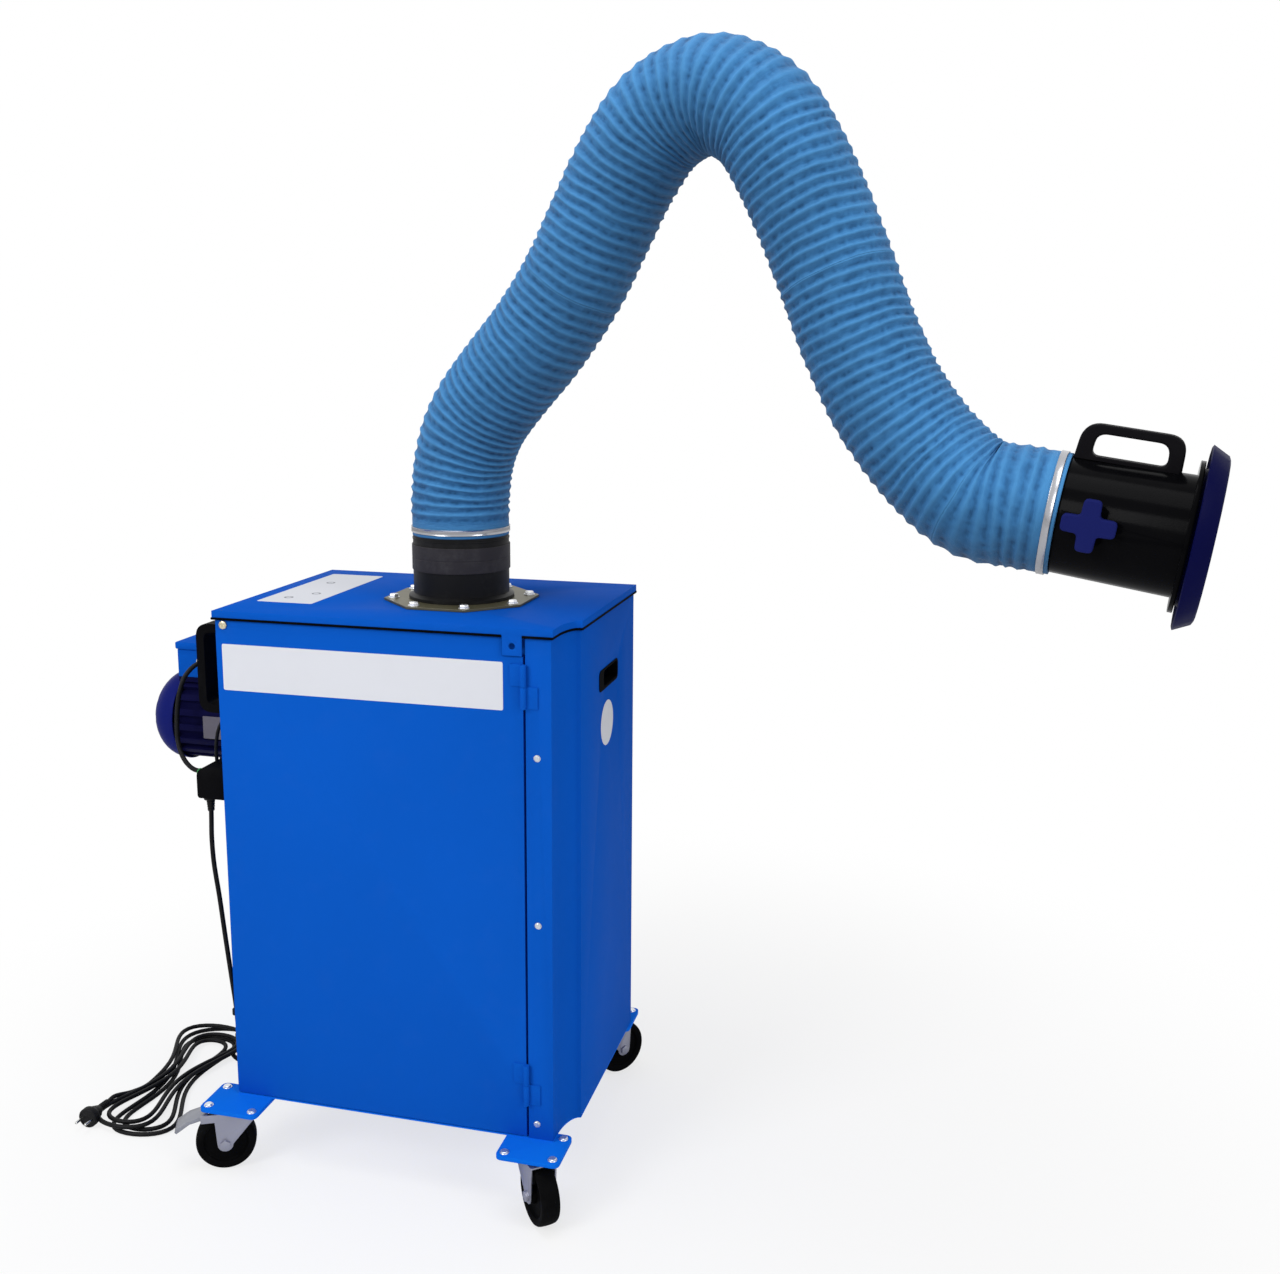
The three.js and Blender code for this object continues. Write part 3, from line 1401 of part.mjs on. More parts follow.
function hoodRim() {
  const base = hoodLength + seatGap;
  const throat = hoodMouthRadius - hoodWall;
  const lipRadius = 103;
  const lipAt = 184;
  const skirtRadius = 119;
  const skirtAt = 160;
  const wall = 2.5;
  const seat = 12;
  return alongHood(turned([[throat, base], [throat + seat, base], [throat + seat, base + wall],
    [lipRadius - 2 * wall, lipAt - 3 * wall], [lipRadius, lipAt - 2 * wall],
    [(lipRadius + skirtRadius) / 2 - wall, lipAt - 4 * wall], [skirtRadius - wall, skirtAt],
    [skirtRadius, skirtAt + wall / 2], [lipRadius + 2 * wall, lipAt - wall], [lipRadius, lipAt],
    [lipRadius - 2 * wall, lipAt - wall / 2], [throat + wall, base + 3 * wall]], 24, true));
}

// Strap across the hood's neck that hangs the hood on the swing pin.
function hoodBracket() {
  const earInside = tongueWidth / 2 + seatGap;
  const earThickness = 4;
  const earRadius = 9;
  const strap = 3;
  const width = 22;
  const fork = 24;
  const land = 28;
  const kneeRise = 46;
  const kneeRun = 12;
  const wallInside = hoodNeckRadius - hoodWall - 2 * seatGap;
  const ear = raised(barOutline(fork - earRadius, earRadius, earRadius), earInside,
    earInside + earThickness, 4);
  const low = raised(barOutline(fork - earRadius, earRadius, earRadius), -earInside - earThickness,
    -earInside, 4);
  const pin = rod(swingPinRadius, -earInside - earThickness, earInside + earThickness, 10);
  const inner = earInside + earThickness;
  const wallX = fork - earRadius;
  const profile = [[fork - 2 * earRadius, inner - strap], [wallX, inner - strap], [wallX, kneeRise],
    [neckX + kneeRun, wallInside - strap], [neckX + land, wallInside - strap],
    [neckX + land, wallInside], [neckX + kneeRun - strap / 2, wallInside],
    [wallX - strap, kneeRise + strap / 2], [wallX - strap, inner], [fork - 2 * earRadius, inner]];
  const upper = acrossY(outline(profile), -width / 2, width / 2);
  const lower = acrossY(outline(profile.map(([x, z]) => [x, -z])), -width / 2, width / 2);
  const bore = spun(rod(wallInside, 0, neckX + 2 * land, 40), ...zToX);
  return joined(ear, low, pin, joined(upper, lower).intersect(bore));
}

function hoodHandle() {
  const legOut = 8;
  const widthY = 24;
  const start = 1;
  const end = 132;
  const top = 117;
  const foot = 70;
  const thin = 7;
  const cornerRadius = 20;
  const innerCorner = 14;
  const wide = 17;
  const footRise = 4;
  const outer = new THREE.Shape();
  outer.moveTo(start, foot);
  outer.lineTo(end, foot);
  outer.lineTo(end - legOut / 2, top - cornerRadius);
  outer.quadraticCurveTo(end - legOut / 2, top, end - legOut - cornerRadius, top);
  outer.lineTo(start + legOut + cornerRadius, top);
  outer.quadraticCurveTo(start + legOut / 2, top, start + legOut / 2, top - cornerRadius);
  const inner = new THREE.Shape();
  inner.moveTo(start + wide, foot - overrun);
  inner.lineTo(end - wide, foot - overrun);
  inner.lineTo(end - wide - legOut / 2, top - thin - innerCorner);
  inner.quadraticCurveTo(end - wide - legOut / 2, top - thin, end - wide - legOut - innerCorner, top - thin);
  inner.lineTo(start + wide + legOut + innerCorner, top - thin);
  inner.quadraticCurveTo(start + wide + legOut / 2, top - thin, start + wide + legOut / 2,
    top - thin - innerCorner);
  const bow = cut(acrossY(outer, -widthY / 2, widthY / 2, 5), acrossY(inner, -widthY, widthY, 5));
  const slope = (hoodMouthRadius - hoodNeckRadius) / hoodLength;
  const saddle = spun(turned([[0, -overrun], [hoodNeckRadius + seatGap - slope * overrun, -overrun],
    [hoodMouthRadius + seatGap, hoodLength], [0, hoodLength]], 40), ...zToX);
  const footTop = hoodMouthRadius + footRise;
  const base = cut(acrossY(outline([[start, foot], [end, foot], [end, footTop], [start, footTop]]),
    -widthY / 2, widthY / 2), saddle);
  return moved(joined(cut(bow, saddle), base), neckX, 0, 0);
}

function damperFlap() {
  const thickness = 2;
  const stub = 4;
  const near = -hoodMouthRadius - knobThickness + knobFloor;
  const far = hoodMouthRadius + stub;
  const disc = rod(damperRadius, -thickness / 2, thickness / 2, 32);
  const shaft = spun(rod(damperShaft, near, far, 12), ...zToY);
  return moved(joined(disc, shaft), neckX + damperPlace, 0, damperRise);
}

const knobThickness = 14;
const knobFloor = 3;

// Cross-shaped damper knob on the near end of the shaft.
function damperKnob() {
  const reach = 36;
  const arm = 12.5;
  const round = 4;
  const fillet = 4;
  const points = [];
  for (let i = 0; i < 4; i += 1) {
    const turn = quarterTurn * i;
    for (const [x, y] of [[reach, -arm + round], [reach, arm - round], [reach - round, arm],
      [arm + fillet, arm], [arm, arm + fillet], [arm, reach - round]]) {
      points.push([x * Math.cos(turn) - y * Math.sin(turn), x * Math.sin(turn) + y * Math.cos(turn)]);
    }
  }
  const knobBack = -hoodMouthRadius - 2 * seatGap;
  const cross = acrossY(outline(points), knobBack - knobThickness, knobBack);
  const bore = spun(rod(damperShaft + turningGap, -3 * hoodMouthRadius / 2, hoodMouthRadius, 12), ...zToY);
  const floorY = knobBack - knobThickness + knobFloor;
  const blind = bore.intersect(box(-overrun, floorY, -overrun, overrun, 0, overrun));
  return moved(cut(cross, blind), neckX + damperPlace, 0, damperRise);
}

// The hose's centreline in the arm's frame: an upright root, three bends over the elbow and down,
// then along the hood's axis, where the last stretch turns aside with the hood.
const elbowX = lowerLinkLength * Math.cos(lowerLinkAngle);
const elbowZ = shoulderHeight + lowerLinkLength * Math.sin(lowerLinkAngle);
const hoodX = elbowX + upperLinkLength * Math.cos(upperLinkAngle);
const hoodZ = elbowZ + upperLinkLength * Math.sin(upperLinkAngle);
const shoulderLift = 15;
const elbowAhead = 26.5;
const elbowLift = 131;
const tipRun = 119;

function filletedPath(corners, bends) {
  const path = new THREE.CurvePath();
  let from = corners[0];
  for (let i = 1; i + 1 < corners.length; i += 1) {
    const inward = corners[i].clone().sub(corners[i - 1]).normalize();
    const onward = corners[i + 1].clone().sub(corners[i]).normalize();
    const turn = Math.acos(inward.dot(onward));
    const tangent = bends[i - 1] * Math.tan(turn / 2);
    const start = corners[i].clone().addScaledVector(inward, -tangent);
    const end = corners[i].clone().addScaledVector(onward, tangent);
    const sense = Math.sign(inward.cross(onward));
    const across = new THREE.Vector2(-inward.y, inward.x);
    const centre = start.clone().addScaledVector(across, sense * bends[i - 1]);
    const from0 = Math.atan2(start.y - centre.y, start.x - centre.x);
    const to0 = Math.atan2(end.y - centre.y, end.x - centre.x);
    path.add(new THREE.LineCurve(from, start));
    path.add(new THREE.EllipseCurve(centre.x, centre.y, bends[i - 1], bends[i - 1], from0, to0, sense < 0));
    from = end;
  }
  path.add(new THREE.LineCurve(from, corners[corners.length - 1]));
  return path;
}

function hosePath() {
  const tip = new THREE.Vector2(Math.cos(hoodTilt), Math.sin(hoodTilt));
  const hoodPivot = new THREE.Vector2(hoodX, hoodZ);
  return filletedPath([
    new THREE.Vector2(0, sleeveTop + seatGap),
    new THREE.Vector2(0, shoulderHeight + shoulderLift),
    new THREE.Vector2(elbowX + elbowAhead, elbowZ + elbowLift),
    hoodPivot.clone().addScaledVector(tip, -tipRun),
    hoodPivot.clone().addScaledVector(tip, hoodSetback - seatGap),
  ], [shoulderBend, elbowBend, tipBend]);
}

const armPath = hosePath();
const hoseLength = armPath.getLength();
const swingAxis = new THREE.Vector3(-Math.sin(hoodTilt), 0, Math.cos(hoodTilt));
const swingCentre = new THREE.Vector3(hoodX + swingOffset * Math.cos(hoodTilt), 0,
  hoodZ + swingOffset * Math.sin(hoodTilt));

function hosePoint(along) {
  const flat = armPath.getPointAt(THREE.MathUtils.clamp(along / hoseLength, 0, 1));
  const point = new THREE.Vector3(flat.x, 0, flat.y);
  const swingStart = hoseLength - 3 * hoodSetback;
  const swingEnd = hoseLength - hoodSetback / 3;
  const share = THREE.MathUtils.smoothstep(along, swingStart, swingEnd);
  return point.sub(swingCentre).applyAxisAngle(swingAxis, hoodSwing * share).add(swingCentre);
}

function hoseTangent(along) {
  const small = ribPitch / 40;
  const a = Math.max(0, along - small);
  const b = Math.min(hoseLength, along + small);
  return hosePoint(b).sub(hosePoint(a)).normalize();
}

function hoseRing(along, radius, positions) {
  const centre = hosePoint(along);
  const tangent = hoseTangent(along);
  const side = new THREE.Vector3(0, 1, 0).addScaledVector(tangent, -tangent.y).normalize();
  const up = new THREE.Vector3().crossVectors(tangent, side);
  for (let k = 0; k < ringPoints; k += 1) {
    const t = fullTurn * k / ringPoints;
    const corner = centre.clone().addScaledVector(side, radius * Math.cos(t))
      .addScaledVector(up, radius * Math.sin(t));
    positions.push(corner.x, corner.y, corner.z);
  }
}

// A stretch of the hose with a crest and a trough for each rib and its bore right through.
function ribbedHose(start, end, startCuff, endCuff) {
  const positions = [];
  const faces = [];
  const ribStart = start + startCuff;
  const ribEnd = end - endCuff;
  const ribs = Math.round((ribEnd - ribStart) / ribPitch);
  const pitch = (ribEnd - ribStart) / ribs;
  const outer = startCuff > 0 ? [[start, hoseCuff]] : [];
  for (let i = 0; i < ribs; i += 1) {
    outer.push([ribStart + pitch * i, i === 0 && startCuff > 0 ? hoseCuff : hoseTrough]);
    outer.push([ribStart + pitch * (i + 1 / 2), hoseCrest]);
  }
  outer.push([ribEnd, endCuff > 0 ? hoseCuff : hoseTrough]);
  if (endCuff > 0) {
    outer.push([end, hoseCuff]);
  }
  const bores = Math.ceil(ribs / boreRibs);
  const inner = [];
  for (let i = 0; i <= bores; i += 1) {
    inner.push([end + (start - end) * i / bores, hoseBore]);
  }
  const rings = [...outer, ...inner];
  rings.forEach(([along, radius]) => hoseRing(along, radius, positions));
  rings.forEach((_, i) => {
    const next = (i + 1) % rings.length;
    for (let k = 0; k < ringPoints; k += 1) {
      const a = i * ringPoints + k;
      const b = i * ringPoints + (k + 1) % ringPoints;
      const c = next * ringPoints + (k + 1) % ringPoints;
      const d = next * ringPoints + k;
      faces.push(a, b, c, a, c, d);
    }
  });
  return solid(indexed(positions, faces));
}

// The hose is parted in the middle of each straight run.
function straightMiddle(index) {
  const lengths = armPath.getCurveLengths();
  return (lengths[index - 1] + lengths[index]) / 2;
}

const lowerPart = straightMiddle(2);
const upperPart = straightMiddle(4);

// Assembly: nested groups stand at the pivots of the moving bodies.
function group(name, x = 0, y = 0, z = 0) {
  const holder = new THREE.Group();
  holder.name = name;
  holder.position.set(x, y, z);
  return holder;
}

const machine = group('machine');
const cabinet = group('cabinet');
machine.add(cabinet);
cabinet.add(
  piece('cabinet_shell', cabinetShell(), paint),
  piece('base_frame', baseFrame(), brightPaint),
  piece('top_plate', topPlate(), paint),
  piece('fan_partition', fanPartition(), paint),
  piece('filter_deck', filterDeck(), paint),
  piece('filter_cartridge', filterCartridge(), filterPaper),
  piece('filter_clamp', filterClamp(), steel),
  piece('spark_baffle', sparkBaffle(), zinc),
  piece('fan_scroll', fanScroll(), zinc),
  piece('exhaust_grille', exhaustGrille(), paint),
  piece('inlet_flange', inletFlange(), oliveZinc),
  piece('inlet_collar', inletCollar(), blackPlastic),
  piece('motor_body', motorBody(), navyPaint),
  piece('fan_cowl', fanCowl(), navyPaint),
  piece('terminal_box', terminalBox(), paint),
  piece('terminal_lid', terminalLid(), paint),
  piece('terminal_gland', terminalGland(), palePlastic),
  piece('switch_box', switchBox(), blackPlastic),
  piece('bow_handle', bowHandle(), blackPlastic),
  piece('mains_gland', mainsGland(), blackRubber),
);
const cords = group('cords');
machine.add(cords);
cords.add(
  piece('motor_flex', motorFlex(), blackRubber),
  piece('control_lead', controlLead(), blackRubber),
  piece('mains_lead', mainsLead(), blackRubber),
  piece('mains_lead_hank', mainsHank(), blackRubber),
  piece('mains_lead_tail', mainsTail(), blackRubber),
  piece('mains_plug', mainsPlug(), blackPlastic),
);
cabinet.add(
  piece('start_button', pushButton(startZ), greenPlastic),
  piece('stop_button', pushButton(stopZ), redPlastic),
  piece('motor_shaft', motorShaft(), steel),
  piece('impeller', impeller(), zinc),
  piece('cooling_fan', coolingFan(), blackPlastic),
  piece('door_panel', doorPanel(), paint),
  piece('door_lock', doorLock(), brass),
);

const castorNames = ['front_left', 'front_right', 'rear_left', 'rear_right'];
const castorHeadings = [206, -50, 130, 50].map(THREE.MathUtils.degToRad);
castorPlaces().forEach(([x, y], i) => {
  const braked = x < 0;
  const castor = group(`castor_${castorNames[i]}`, x, y, 0);
  castor.rotation.z = castorHeadings[i];
  castor.add(piece(`castor_fork_${castorNames[i]}`, castorFork(braked), zinc));
  const hub = group(`wheel_${castorNames[i]}`, castorTrail, 0, wheelDiameter / 2);
  hub.add(piece(`castor_wheel_${castorNames[i]}`, castorWheel(), blackRubber));
  castor.add(hub);
  if (braked) {
    castor.add(piece(`brake_pedal_${castorNames[i]}`, brakePedal(), zinc));
    castor.add(group(`pedal_${castorNames[i]}`, pedalPivotX, 0, pedalPivotZ));
  }
  machine.add(castor);
});

const clampWidth = 12;
const clampSetback = 4;
const arm = group('arm_turn', inletX, 0, 0);
arm.rotation.z = armHeading;
machine.add(arm);
const sleeve = group('sleeve', 0, 0, sleeveBase);
sleeve.add(
  piece('swivel_sleeve', swivelSleeve(), greyPlastic),
  piece('hose_clamp_lower', moved(hoseClamp(0, clampWidth), 0, 0,
    sleeveTop - sleeveBase + clampSetback), steel),
  piece('shoulder_bracket', shoulderBracket(), zinc),
);
arm.add(sleeve);
arm.add(
  piece('hose_shoulder', ribbedHose(0, lowerPart, cuffLength, 0), hoseFabric),
  piece('hose_elbow', ribbedHose(lowerPart + seatGap, upperPart, 0, 0), hoseFabric),
  piece('hose_tip', ribbedHose(upperPart + seatGap, hoseLength, 0, cuffLength), hoseFabric),
);
const shoulder = group('arm_shoulder', 0, 0, shoulderHeight);
shoulder.rotation.y = -lowerLinkAngle;
shoulder.add(piece('lower_link', lowerLink(), zinc));
arm.add(shoulder);
const elbow = group('arm_elbow', lowerLinkLength, 0, 0);
elbow.rotation.y = lowerLinkAngle - upperLinkAngle;
elbow.add(piece('upper_link', upperLink(), zinc));
shoulder.add(elbow);
const tilt = group('hood_tilt', upperLinkLength, 0, 0);
tilt.rotation.y = upperLinkAngle - hoodTilt;
tilt.add(piece('gimbal_block', gimbalBlock(), zinc));
elbow.add(tilt);
const hood = group('hood_swing', swingOffset, 0, 0);
hood.rotation.z = hoodSwing;
tilt.add(hood);
hood.add(
  piece('hood_tube', hoodTube(), blackPlastic),
  piece('hood_bracket', hoodBracket(), zinc),
  piece('hood_handle', hoodHandle(), blackPlastic),
  piece('hood_rim', hoodRim(), navyPlastic),
  piece('hose_clamp_upper', alongHood(hoseClamp(-clampSetback - clampWidth, clampWidth)), steel),
  piece('damper_flap', damperFlap(), zinc),
  piece('damper_knob', damperKnob(), navyPlastic),
);
hood.add(group('damper_turn', neckX + damperPlace, 0, damperRise));

// The origin is the middle of the machine's footprint on the floor, without the mains lead.
const freeLead = ['mains_lead', 'mains_lead_hank', 'mains_lead_tail', 'mains_plug'];
machine.updateMatrixWorld(true);
const bounds = new THREE.Box3();
machine.traverse((node) => {
  if (node.isMesh && !freeLead.includes(node.name)) {
    bounds.union(new THREE.Box3().setFromObject(node, true));
  }
});
machine.position.set(-(bounds.min.x + bounds.max.x) / 2, -(bounds.min.y + bounds.max.y) / 2, -bounds.min.z);

const extractor = new THREE.Group();
extractor.add(machine);
export default extractor;
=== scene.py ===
"""A mobile welding fume extractor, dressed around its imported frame.

Places are given in millimetres from the middle of the cabinet on the floor, or along a piece's own axis,
and turned into the frame's metres where each piece is built.
"""
from math import cos, pi, radians, sin, sqrt, tan

import bmesh
import bpy
from mathutils import Matrix, Vector, noise


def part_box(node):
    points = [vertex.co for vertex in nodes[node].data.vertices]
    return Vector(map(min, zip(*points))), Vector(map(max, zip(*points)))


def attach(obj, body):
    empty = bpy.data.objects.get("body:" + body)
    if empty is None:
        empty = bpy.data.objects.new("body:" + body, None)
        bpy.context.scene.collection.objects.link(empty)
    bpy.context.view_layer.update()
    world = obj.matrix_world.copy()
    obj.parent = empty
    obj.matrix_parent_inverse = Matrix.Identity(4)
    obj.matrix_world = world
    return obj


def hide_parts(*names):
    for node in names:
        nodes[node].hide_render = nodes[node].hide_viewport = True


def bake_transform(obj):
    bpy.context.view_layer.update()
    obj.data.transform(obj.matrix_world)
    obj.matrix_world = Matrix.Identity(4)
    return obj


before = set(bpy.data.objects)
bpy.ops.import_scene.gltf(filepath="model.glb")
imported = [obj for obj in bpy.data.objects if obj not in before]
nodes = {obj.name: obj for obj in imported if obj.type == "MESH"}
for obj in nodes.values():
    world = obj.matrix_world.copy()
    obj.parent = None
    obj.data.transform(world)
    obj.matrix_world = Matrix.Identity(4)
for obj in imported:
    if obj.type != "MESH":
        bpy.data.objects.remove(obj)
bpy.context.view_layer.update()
scene = bpy.context.scene

# The photographer's place: just over a metre to the right of the cabinet's front, at about eye height. The
# cabinet's own middle is found from its folded shell, whose back wall stands 209 mm behind it.
shell_low, shell_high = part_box("cabinet_shell")
back_wall = 0.209
shell_middle = ((shell_low.x + shell_high.x) / 2, shell_high.y - back_wall, 0)
cabinet_place = Matrix.Translation(shell_middle) @ Matrix.Scale(0.001, 4)


def at(x, y, z):
    """A cabinet place in the frame's metres."""
    return cabinet_place @ Vector((x, y, z))


lens = bpy.data.cameras.new("photo_camera")
lens.sensor_width = 36
lens.lens = 38.318
lens.shift_x = 0.018
lens.shift_y = -0.028
lens.clip_end = 60
camera_spot = at(870.9, -2114, 1375.1)
camera = bpy.data.objects.new("photo_camera", lens)
to_right = Vector((0.96714, 0.25419, 0.00434))
upwards = Vector((-0.05059, 0.17570, 0.98315))
backwards = to_right.cross(upwards)
looking = Matrix((to_right, upwards, backwards)).transposed().to_4x4()
camera.matrix_world = Matrix.Translation(camera_spot) @ looking
scene.collection.objects.link(camera)
scene.camera = camera
scene.view_settings.view_transform = "Standard"

# Soft studio light: a pale room that glints and the camera see as white, one large lamp from the front
# left and above, a smaller one from the right and one overhead.
studio = bpy.data.worlds.new("pale_studio")
scene.world = studio
studio.use_nodes = True
sky = studio.node_tree
sky.nodes.clear()
white = (1, 1, 1, 1)


def wired(tree, kind, links=(), **values):
    """A shader node with its properties and input values set; links are (input, the socket feeding it)."""
    node = tree.nodes.new(kind if "Node" in kind else "ShaderNode" + kind)
    for key, value in values.items():
        if key.startswith("in_"):
            name = key[3:]
            node.inputs[int(name) if name.isdigit() else name.replace("_", " ")].default_value = value
        else:
            setattr(node, key, value)
    for target, source in links:
        tree.links.new(source, node.inputs[target])
    return node


def maths(tree, operation, *terms):
    """The result of a Math node; each term is a number or the socket that feeds it."""
    node = wired(tree, "Math", operation=operation)
    for target, term in zip(node.inputs, terms):
        if isinstance(term, (int, float)):
            target.default_value = term
        else:
            tree.links.new(term, target)
    return node.outputs[0]


room_light = wired(sky, "Background", in_Color=white, in_Strength=0.44)
white_wall = wired(sky, "Background", in_Color=white, in_Strength=1.0)
ray = wired(sky, "LightPath")
seen_or_glossy = maths(sky, "MAXIMUM", ray.outputs["Is Camera Ray"], ray.outputs["Is Glossy Ray"])
seen_at_all = maths(sky, "MAXIMUM", seen_or_glossy, ray.outputs["Is Transmission Ray"])
sky_mix = wired(sky, "MixShader", [(0, seen_at_all), (1, room_light.outputs[0]), (2, white_wall.outputs[0])])
wired(sky, "OutputWorld", [("Surface", sky_mix.outputs[0])])


def studio_lamp(name, place, aim, side, power):
    """A square lamp of that side in metres, aimed at a spot."""
    lamp = bpy.data.lights.new(name, "AREA")
    lamp.size = side
    lamp.energy = power
    holder = bpy.data.objects.new(name, lamp)
    holder.location = place
    holder.rotation_euler = (Vector(aim) - Vector(place)).to_track_quat("-Z", "Y").to_euler()
    scene.collection.objects.link(holder)


studio_lamp("front_lamp", (-2.6, -4.0, 3.6), (0, 0, 0.8), 2.0, 112)
studio_lamp("right_lamp", (4.2, -2.2, 3.0), (0.2, 0, 1.0), 1.8, 62)
studio_lamp("top_lamp", (-0.4, -0.6, 4.6), (0.1, 0, 0.8), 2.0, 46)


# Floor: a pale matt sheet under the unit, which keeps its soft shadow. For the camera it fades into the
# room's white with distance.
def shader_nodes(name):
    """A new material with its Principled shader, and its node tree."""
    material = bpy.data.materials.new(name)
    material.use_nodes = True
    tree = material.node_tree
    return material, tree, tree.nodes["Principled BSDF"]


floor_paint, tree, shader = shader_nodes("pale_floor")
shader.inputs["Base Color"].default_value = (0.94, 0.94, 0.94, 1)
shader.inputs["Roughness"].default_value = 0.9
shader.inputs["Specular IOR Level"].default_value = 0.0
fade_start, fade_end = 0.4, 1.7
glow = wired(tree, "Emission", in_Color=white)
path_kind = wired(tree, "LightPath")
floor_place = wired(tree, "TexCoord")
away = wired(tree, "VectorMath", [(0, floor_place.outputs["Object"])], operation="LENGTH")
whitening = wired(tree, "MapRange", [("Value", away.outputs["Value"])], interpolation_type="SMOOTHSTEP",
                  in_From_Min=fade_start, in_From_Max=fade_end, in_To_Min=0.7)
share = maths(tree, "MULTIPLY", path_kind.outputs["Is Camera Ray"], whitening.outputs["Result"])
blend = wired(tree, "MixShader", [(0, share), (1, shader.outputs[0]), (2, glow.outputs[0])])
tree.links.new(blend.outputs[0], tree.nodes["Material Output"].inputs["Surface"])


def new_piece(name, mesh, material, body=None):
    """Puts a finished mesh in the scene with its material, riding on its body."""
    piece = bpy.data.objects.new(name, mesh)
    scene.collection.objects.link(piece)
    piece.data.materials.append(material)
    if body:
        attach(piece, body)
    return piece


def mesh_of(name, corners, faces, smooth=35):
    """A mesh from corners and faces, shaded smooth up to that angle in degrees."""
    mesh = bpy.data.meshes.new(name)
    mesh.from_pydata([tuple(c) for c in corners], [], faces)
    mesh.validate()
    mesh.shade_smooth()
    if smooth:
        mesh.set_sharp_from_angle(angle=radians(smooth))
    mesh.update()
    return mesh


floor_half, floor_drop = 14, 0.0004
floor_corners = [(x * floor_half, y * floor_half, -floor_drop)
                 for x, y in ((-1, -1), (1, -1), (1, 1), (-1, 1))]
floor = new_piece("studio_floor", mesh_of("studio_floor", floor_corners, [(0, 1, 2, 3)]), floor_paint)


# Wear that the finishes share: broad blotches, a fine grain and settled dust. It's one node group, and
# each material sets how much of each it shows.
def group_of(name, inputs, outputs):
    """An empty shader node group with its named sockets, and its two end nodes."""
    group = bpy.data.node_groups.new(name, "ShaderNodeTree")
    for socket_name, kind, value in inputs:
        socket = group.interface.new_socket(name=socket_name, in_out="INPUT", socket_type=kind)
        if value is not None:
            socket.default_value = value
    for socket_name, kind in outputs:
        group.interface.new_socket(name=socket_name, in_out="OUTPUT", socket_type=kind)
    return group, group.nodes.new("NodeGroupInput"), group.nodes.new("NodeGroupOutput")


FLOAT, COLOUR, VECTOR = "NodeSocketFloat", "NodeSocketColor", "NodeSocketVector"
grain_group, g_in, g_out = group_of(
    "finish_grain",
    [("Colour", COLOUR, (0.5, 0.5, 0.5, 1)), ("Blotch", FLOAT, 0.06), ("Grain Size", FLOAT, 900.0),
     ("Roughness", FLOAT, 0.4), ("Dust", FLOAT, 0.05), ("Depth", FLOAT, 0.1)],
    [("Colour", COLOUR), ("Roughness", FLOAT), ("Normal", VECTOR)])
place_on = wired(grain_group, "TexCoord")
spread = wired(grain_group, "TexNoise", [("Vector", place_on.outputs["Object"])],
               in_Scale=3.4, in_Detail=5.0, in_Roughness=0.55)
cloud = wired(grain_group, "TexNoise", [("Vector", place_on.outputs["Object"])],
              in_Scale=17.0, in_Detail=6.0, in_Roughness=0.7)
fine = wired(grain_group, "TexNoise", [("Vector", place_on.outputs["Object"]),
             ("Scale", g_in.outputs["Grain Size"])], in_Detail=2.0, in_Roughness=0.6)
centred = maths(grain_group, "SUBTRACT", spread.outputs["Fac"], 0.5)
swing = maths(grain_group, "MULTIPLY", centred, g_in.outputs["Blotch"])
doubled = maths(grain_group, "MULTIPLY_ADD", swing, 4.0, 1.0)
toned = wired(grain_group, "HueSaturation", [("Color", g_in.outputs["Colour"]), ("Value", doubled)])
dusty = wired(grain_group, "MapRange", [("Value", cloud.outputs["Fac"]), ("To Max", g_in.outputs["Dust"])],
              in_From_Min=0.52, in_From_Max=0.78, in_To_Min=0.0)
dusted = wired(grain_group, "Mix", [("Factor", dusty.outputs[0]), (6, toned.outputs[0])],
               data_type="RGBA", in_7=(0.62, 0.62, 0.6, 1))
rough_add = maths(grain_group, "MULTIPLY_ADD", cloud.outputs["Fac"], 0.12, g_in.outputs["Roughness"])
rough_fix = maths(grain_group, "SUBTRACT", rough_add, 0.06)
relief = wired(grain_group, "Bump", [("Height", fine.outputs["Fac"]), ("Strength", g_in.outputs["Depth"])],
               in_Distance=0.0006)
grain_group.links.new(dusted.outputs[2], g_out.inputs["Colour"])
grain_group.links.new(rough_fix, g_out.inputs["Roughness"])
grain_group.links.new(relief.outputs[0], g_out.inputs["Normal"])


def srgb(red, green, blue):
    """A colour read as 0 to 255 off a screen, as the shader wants it."""
    def lin(v):
        v /= 255
        return v / 12.92 if v <= 0.04045 else ((v + 0.055) / 1.055) ** 2.4
    return (lin(red), lin(green), lin(blue), 1)


def finish(name, colour, roughness=0.4, metal=0.0, blotch=0.04, grain=900.0, dust=0.03, depth=0.12,
           shine=0.22):
    """A finish made of one colour with its grain, blotches and dust."""
    material, tree, shader = shader_nodes(name)
    detail = tree.nodes.new("ShaderNodeGroup")
    detail.node_tree = grain_group
    detail.inputs["Colour"].default_value = srgb(*colour)
    for socket, value in (("Blotch", blotch), ("Grain Size", grain), ("Roughness", roughness), ("Dust", dust),
                          ("Depth", depth)):
        detail.inputs[socket].default_value = value
    shader.inputs["Metallic"].default_value = metal
    shader.inputs["Specular IOR Level"].default_value = 0.5 if metal else shine
    shader.inputs["IOR"].default_value = 1.5 if metal or shine > 0.1 else 1.2
    tree.links.new(detail.outputs["Colour"], shader.inputs["Base Color"])
    tree.links.new(detail.outputs["Roughness"], shader.inputs["Roughness"])
    tree.links.new(detail.outputs["Normal"], shader.inputs["Normal"])
    return material


# Mains lead: an 8 mm black rubber flex from the gland under the switch down the panel's edge,
# over the floor into a loose hank of four and a half loops, and on to its moulded plug.
lead_rubber = finish("lead_rubber", (15, 15, 17), roughness=0.45, blotch=0.05, grain=1500, dust=0.02,
                     depth=0.1, shine=0.12)


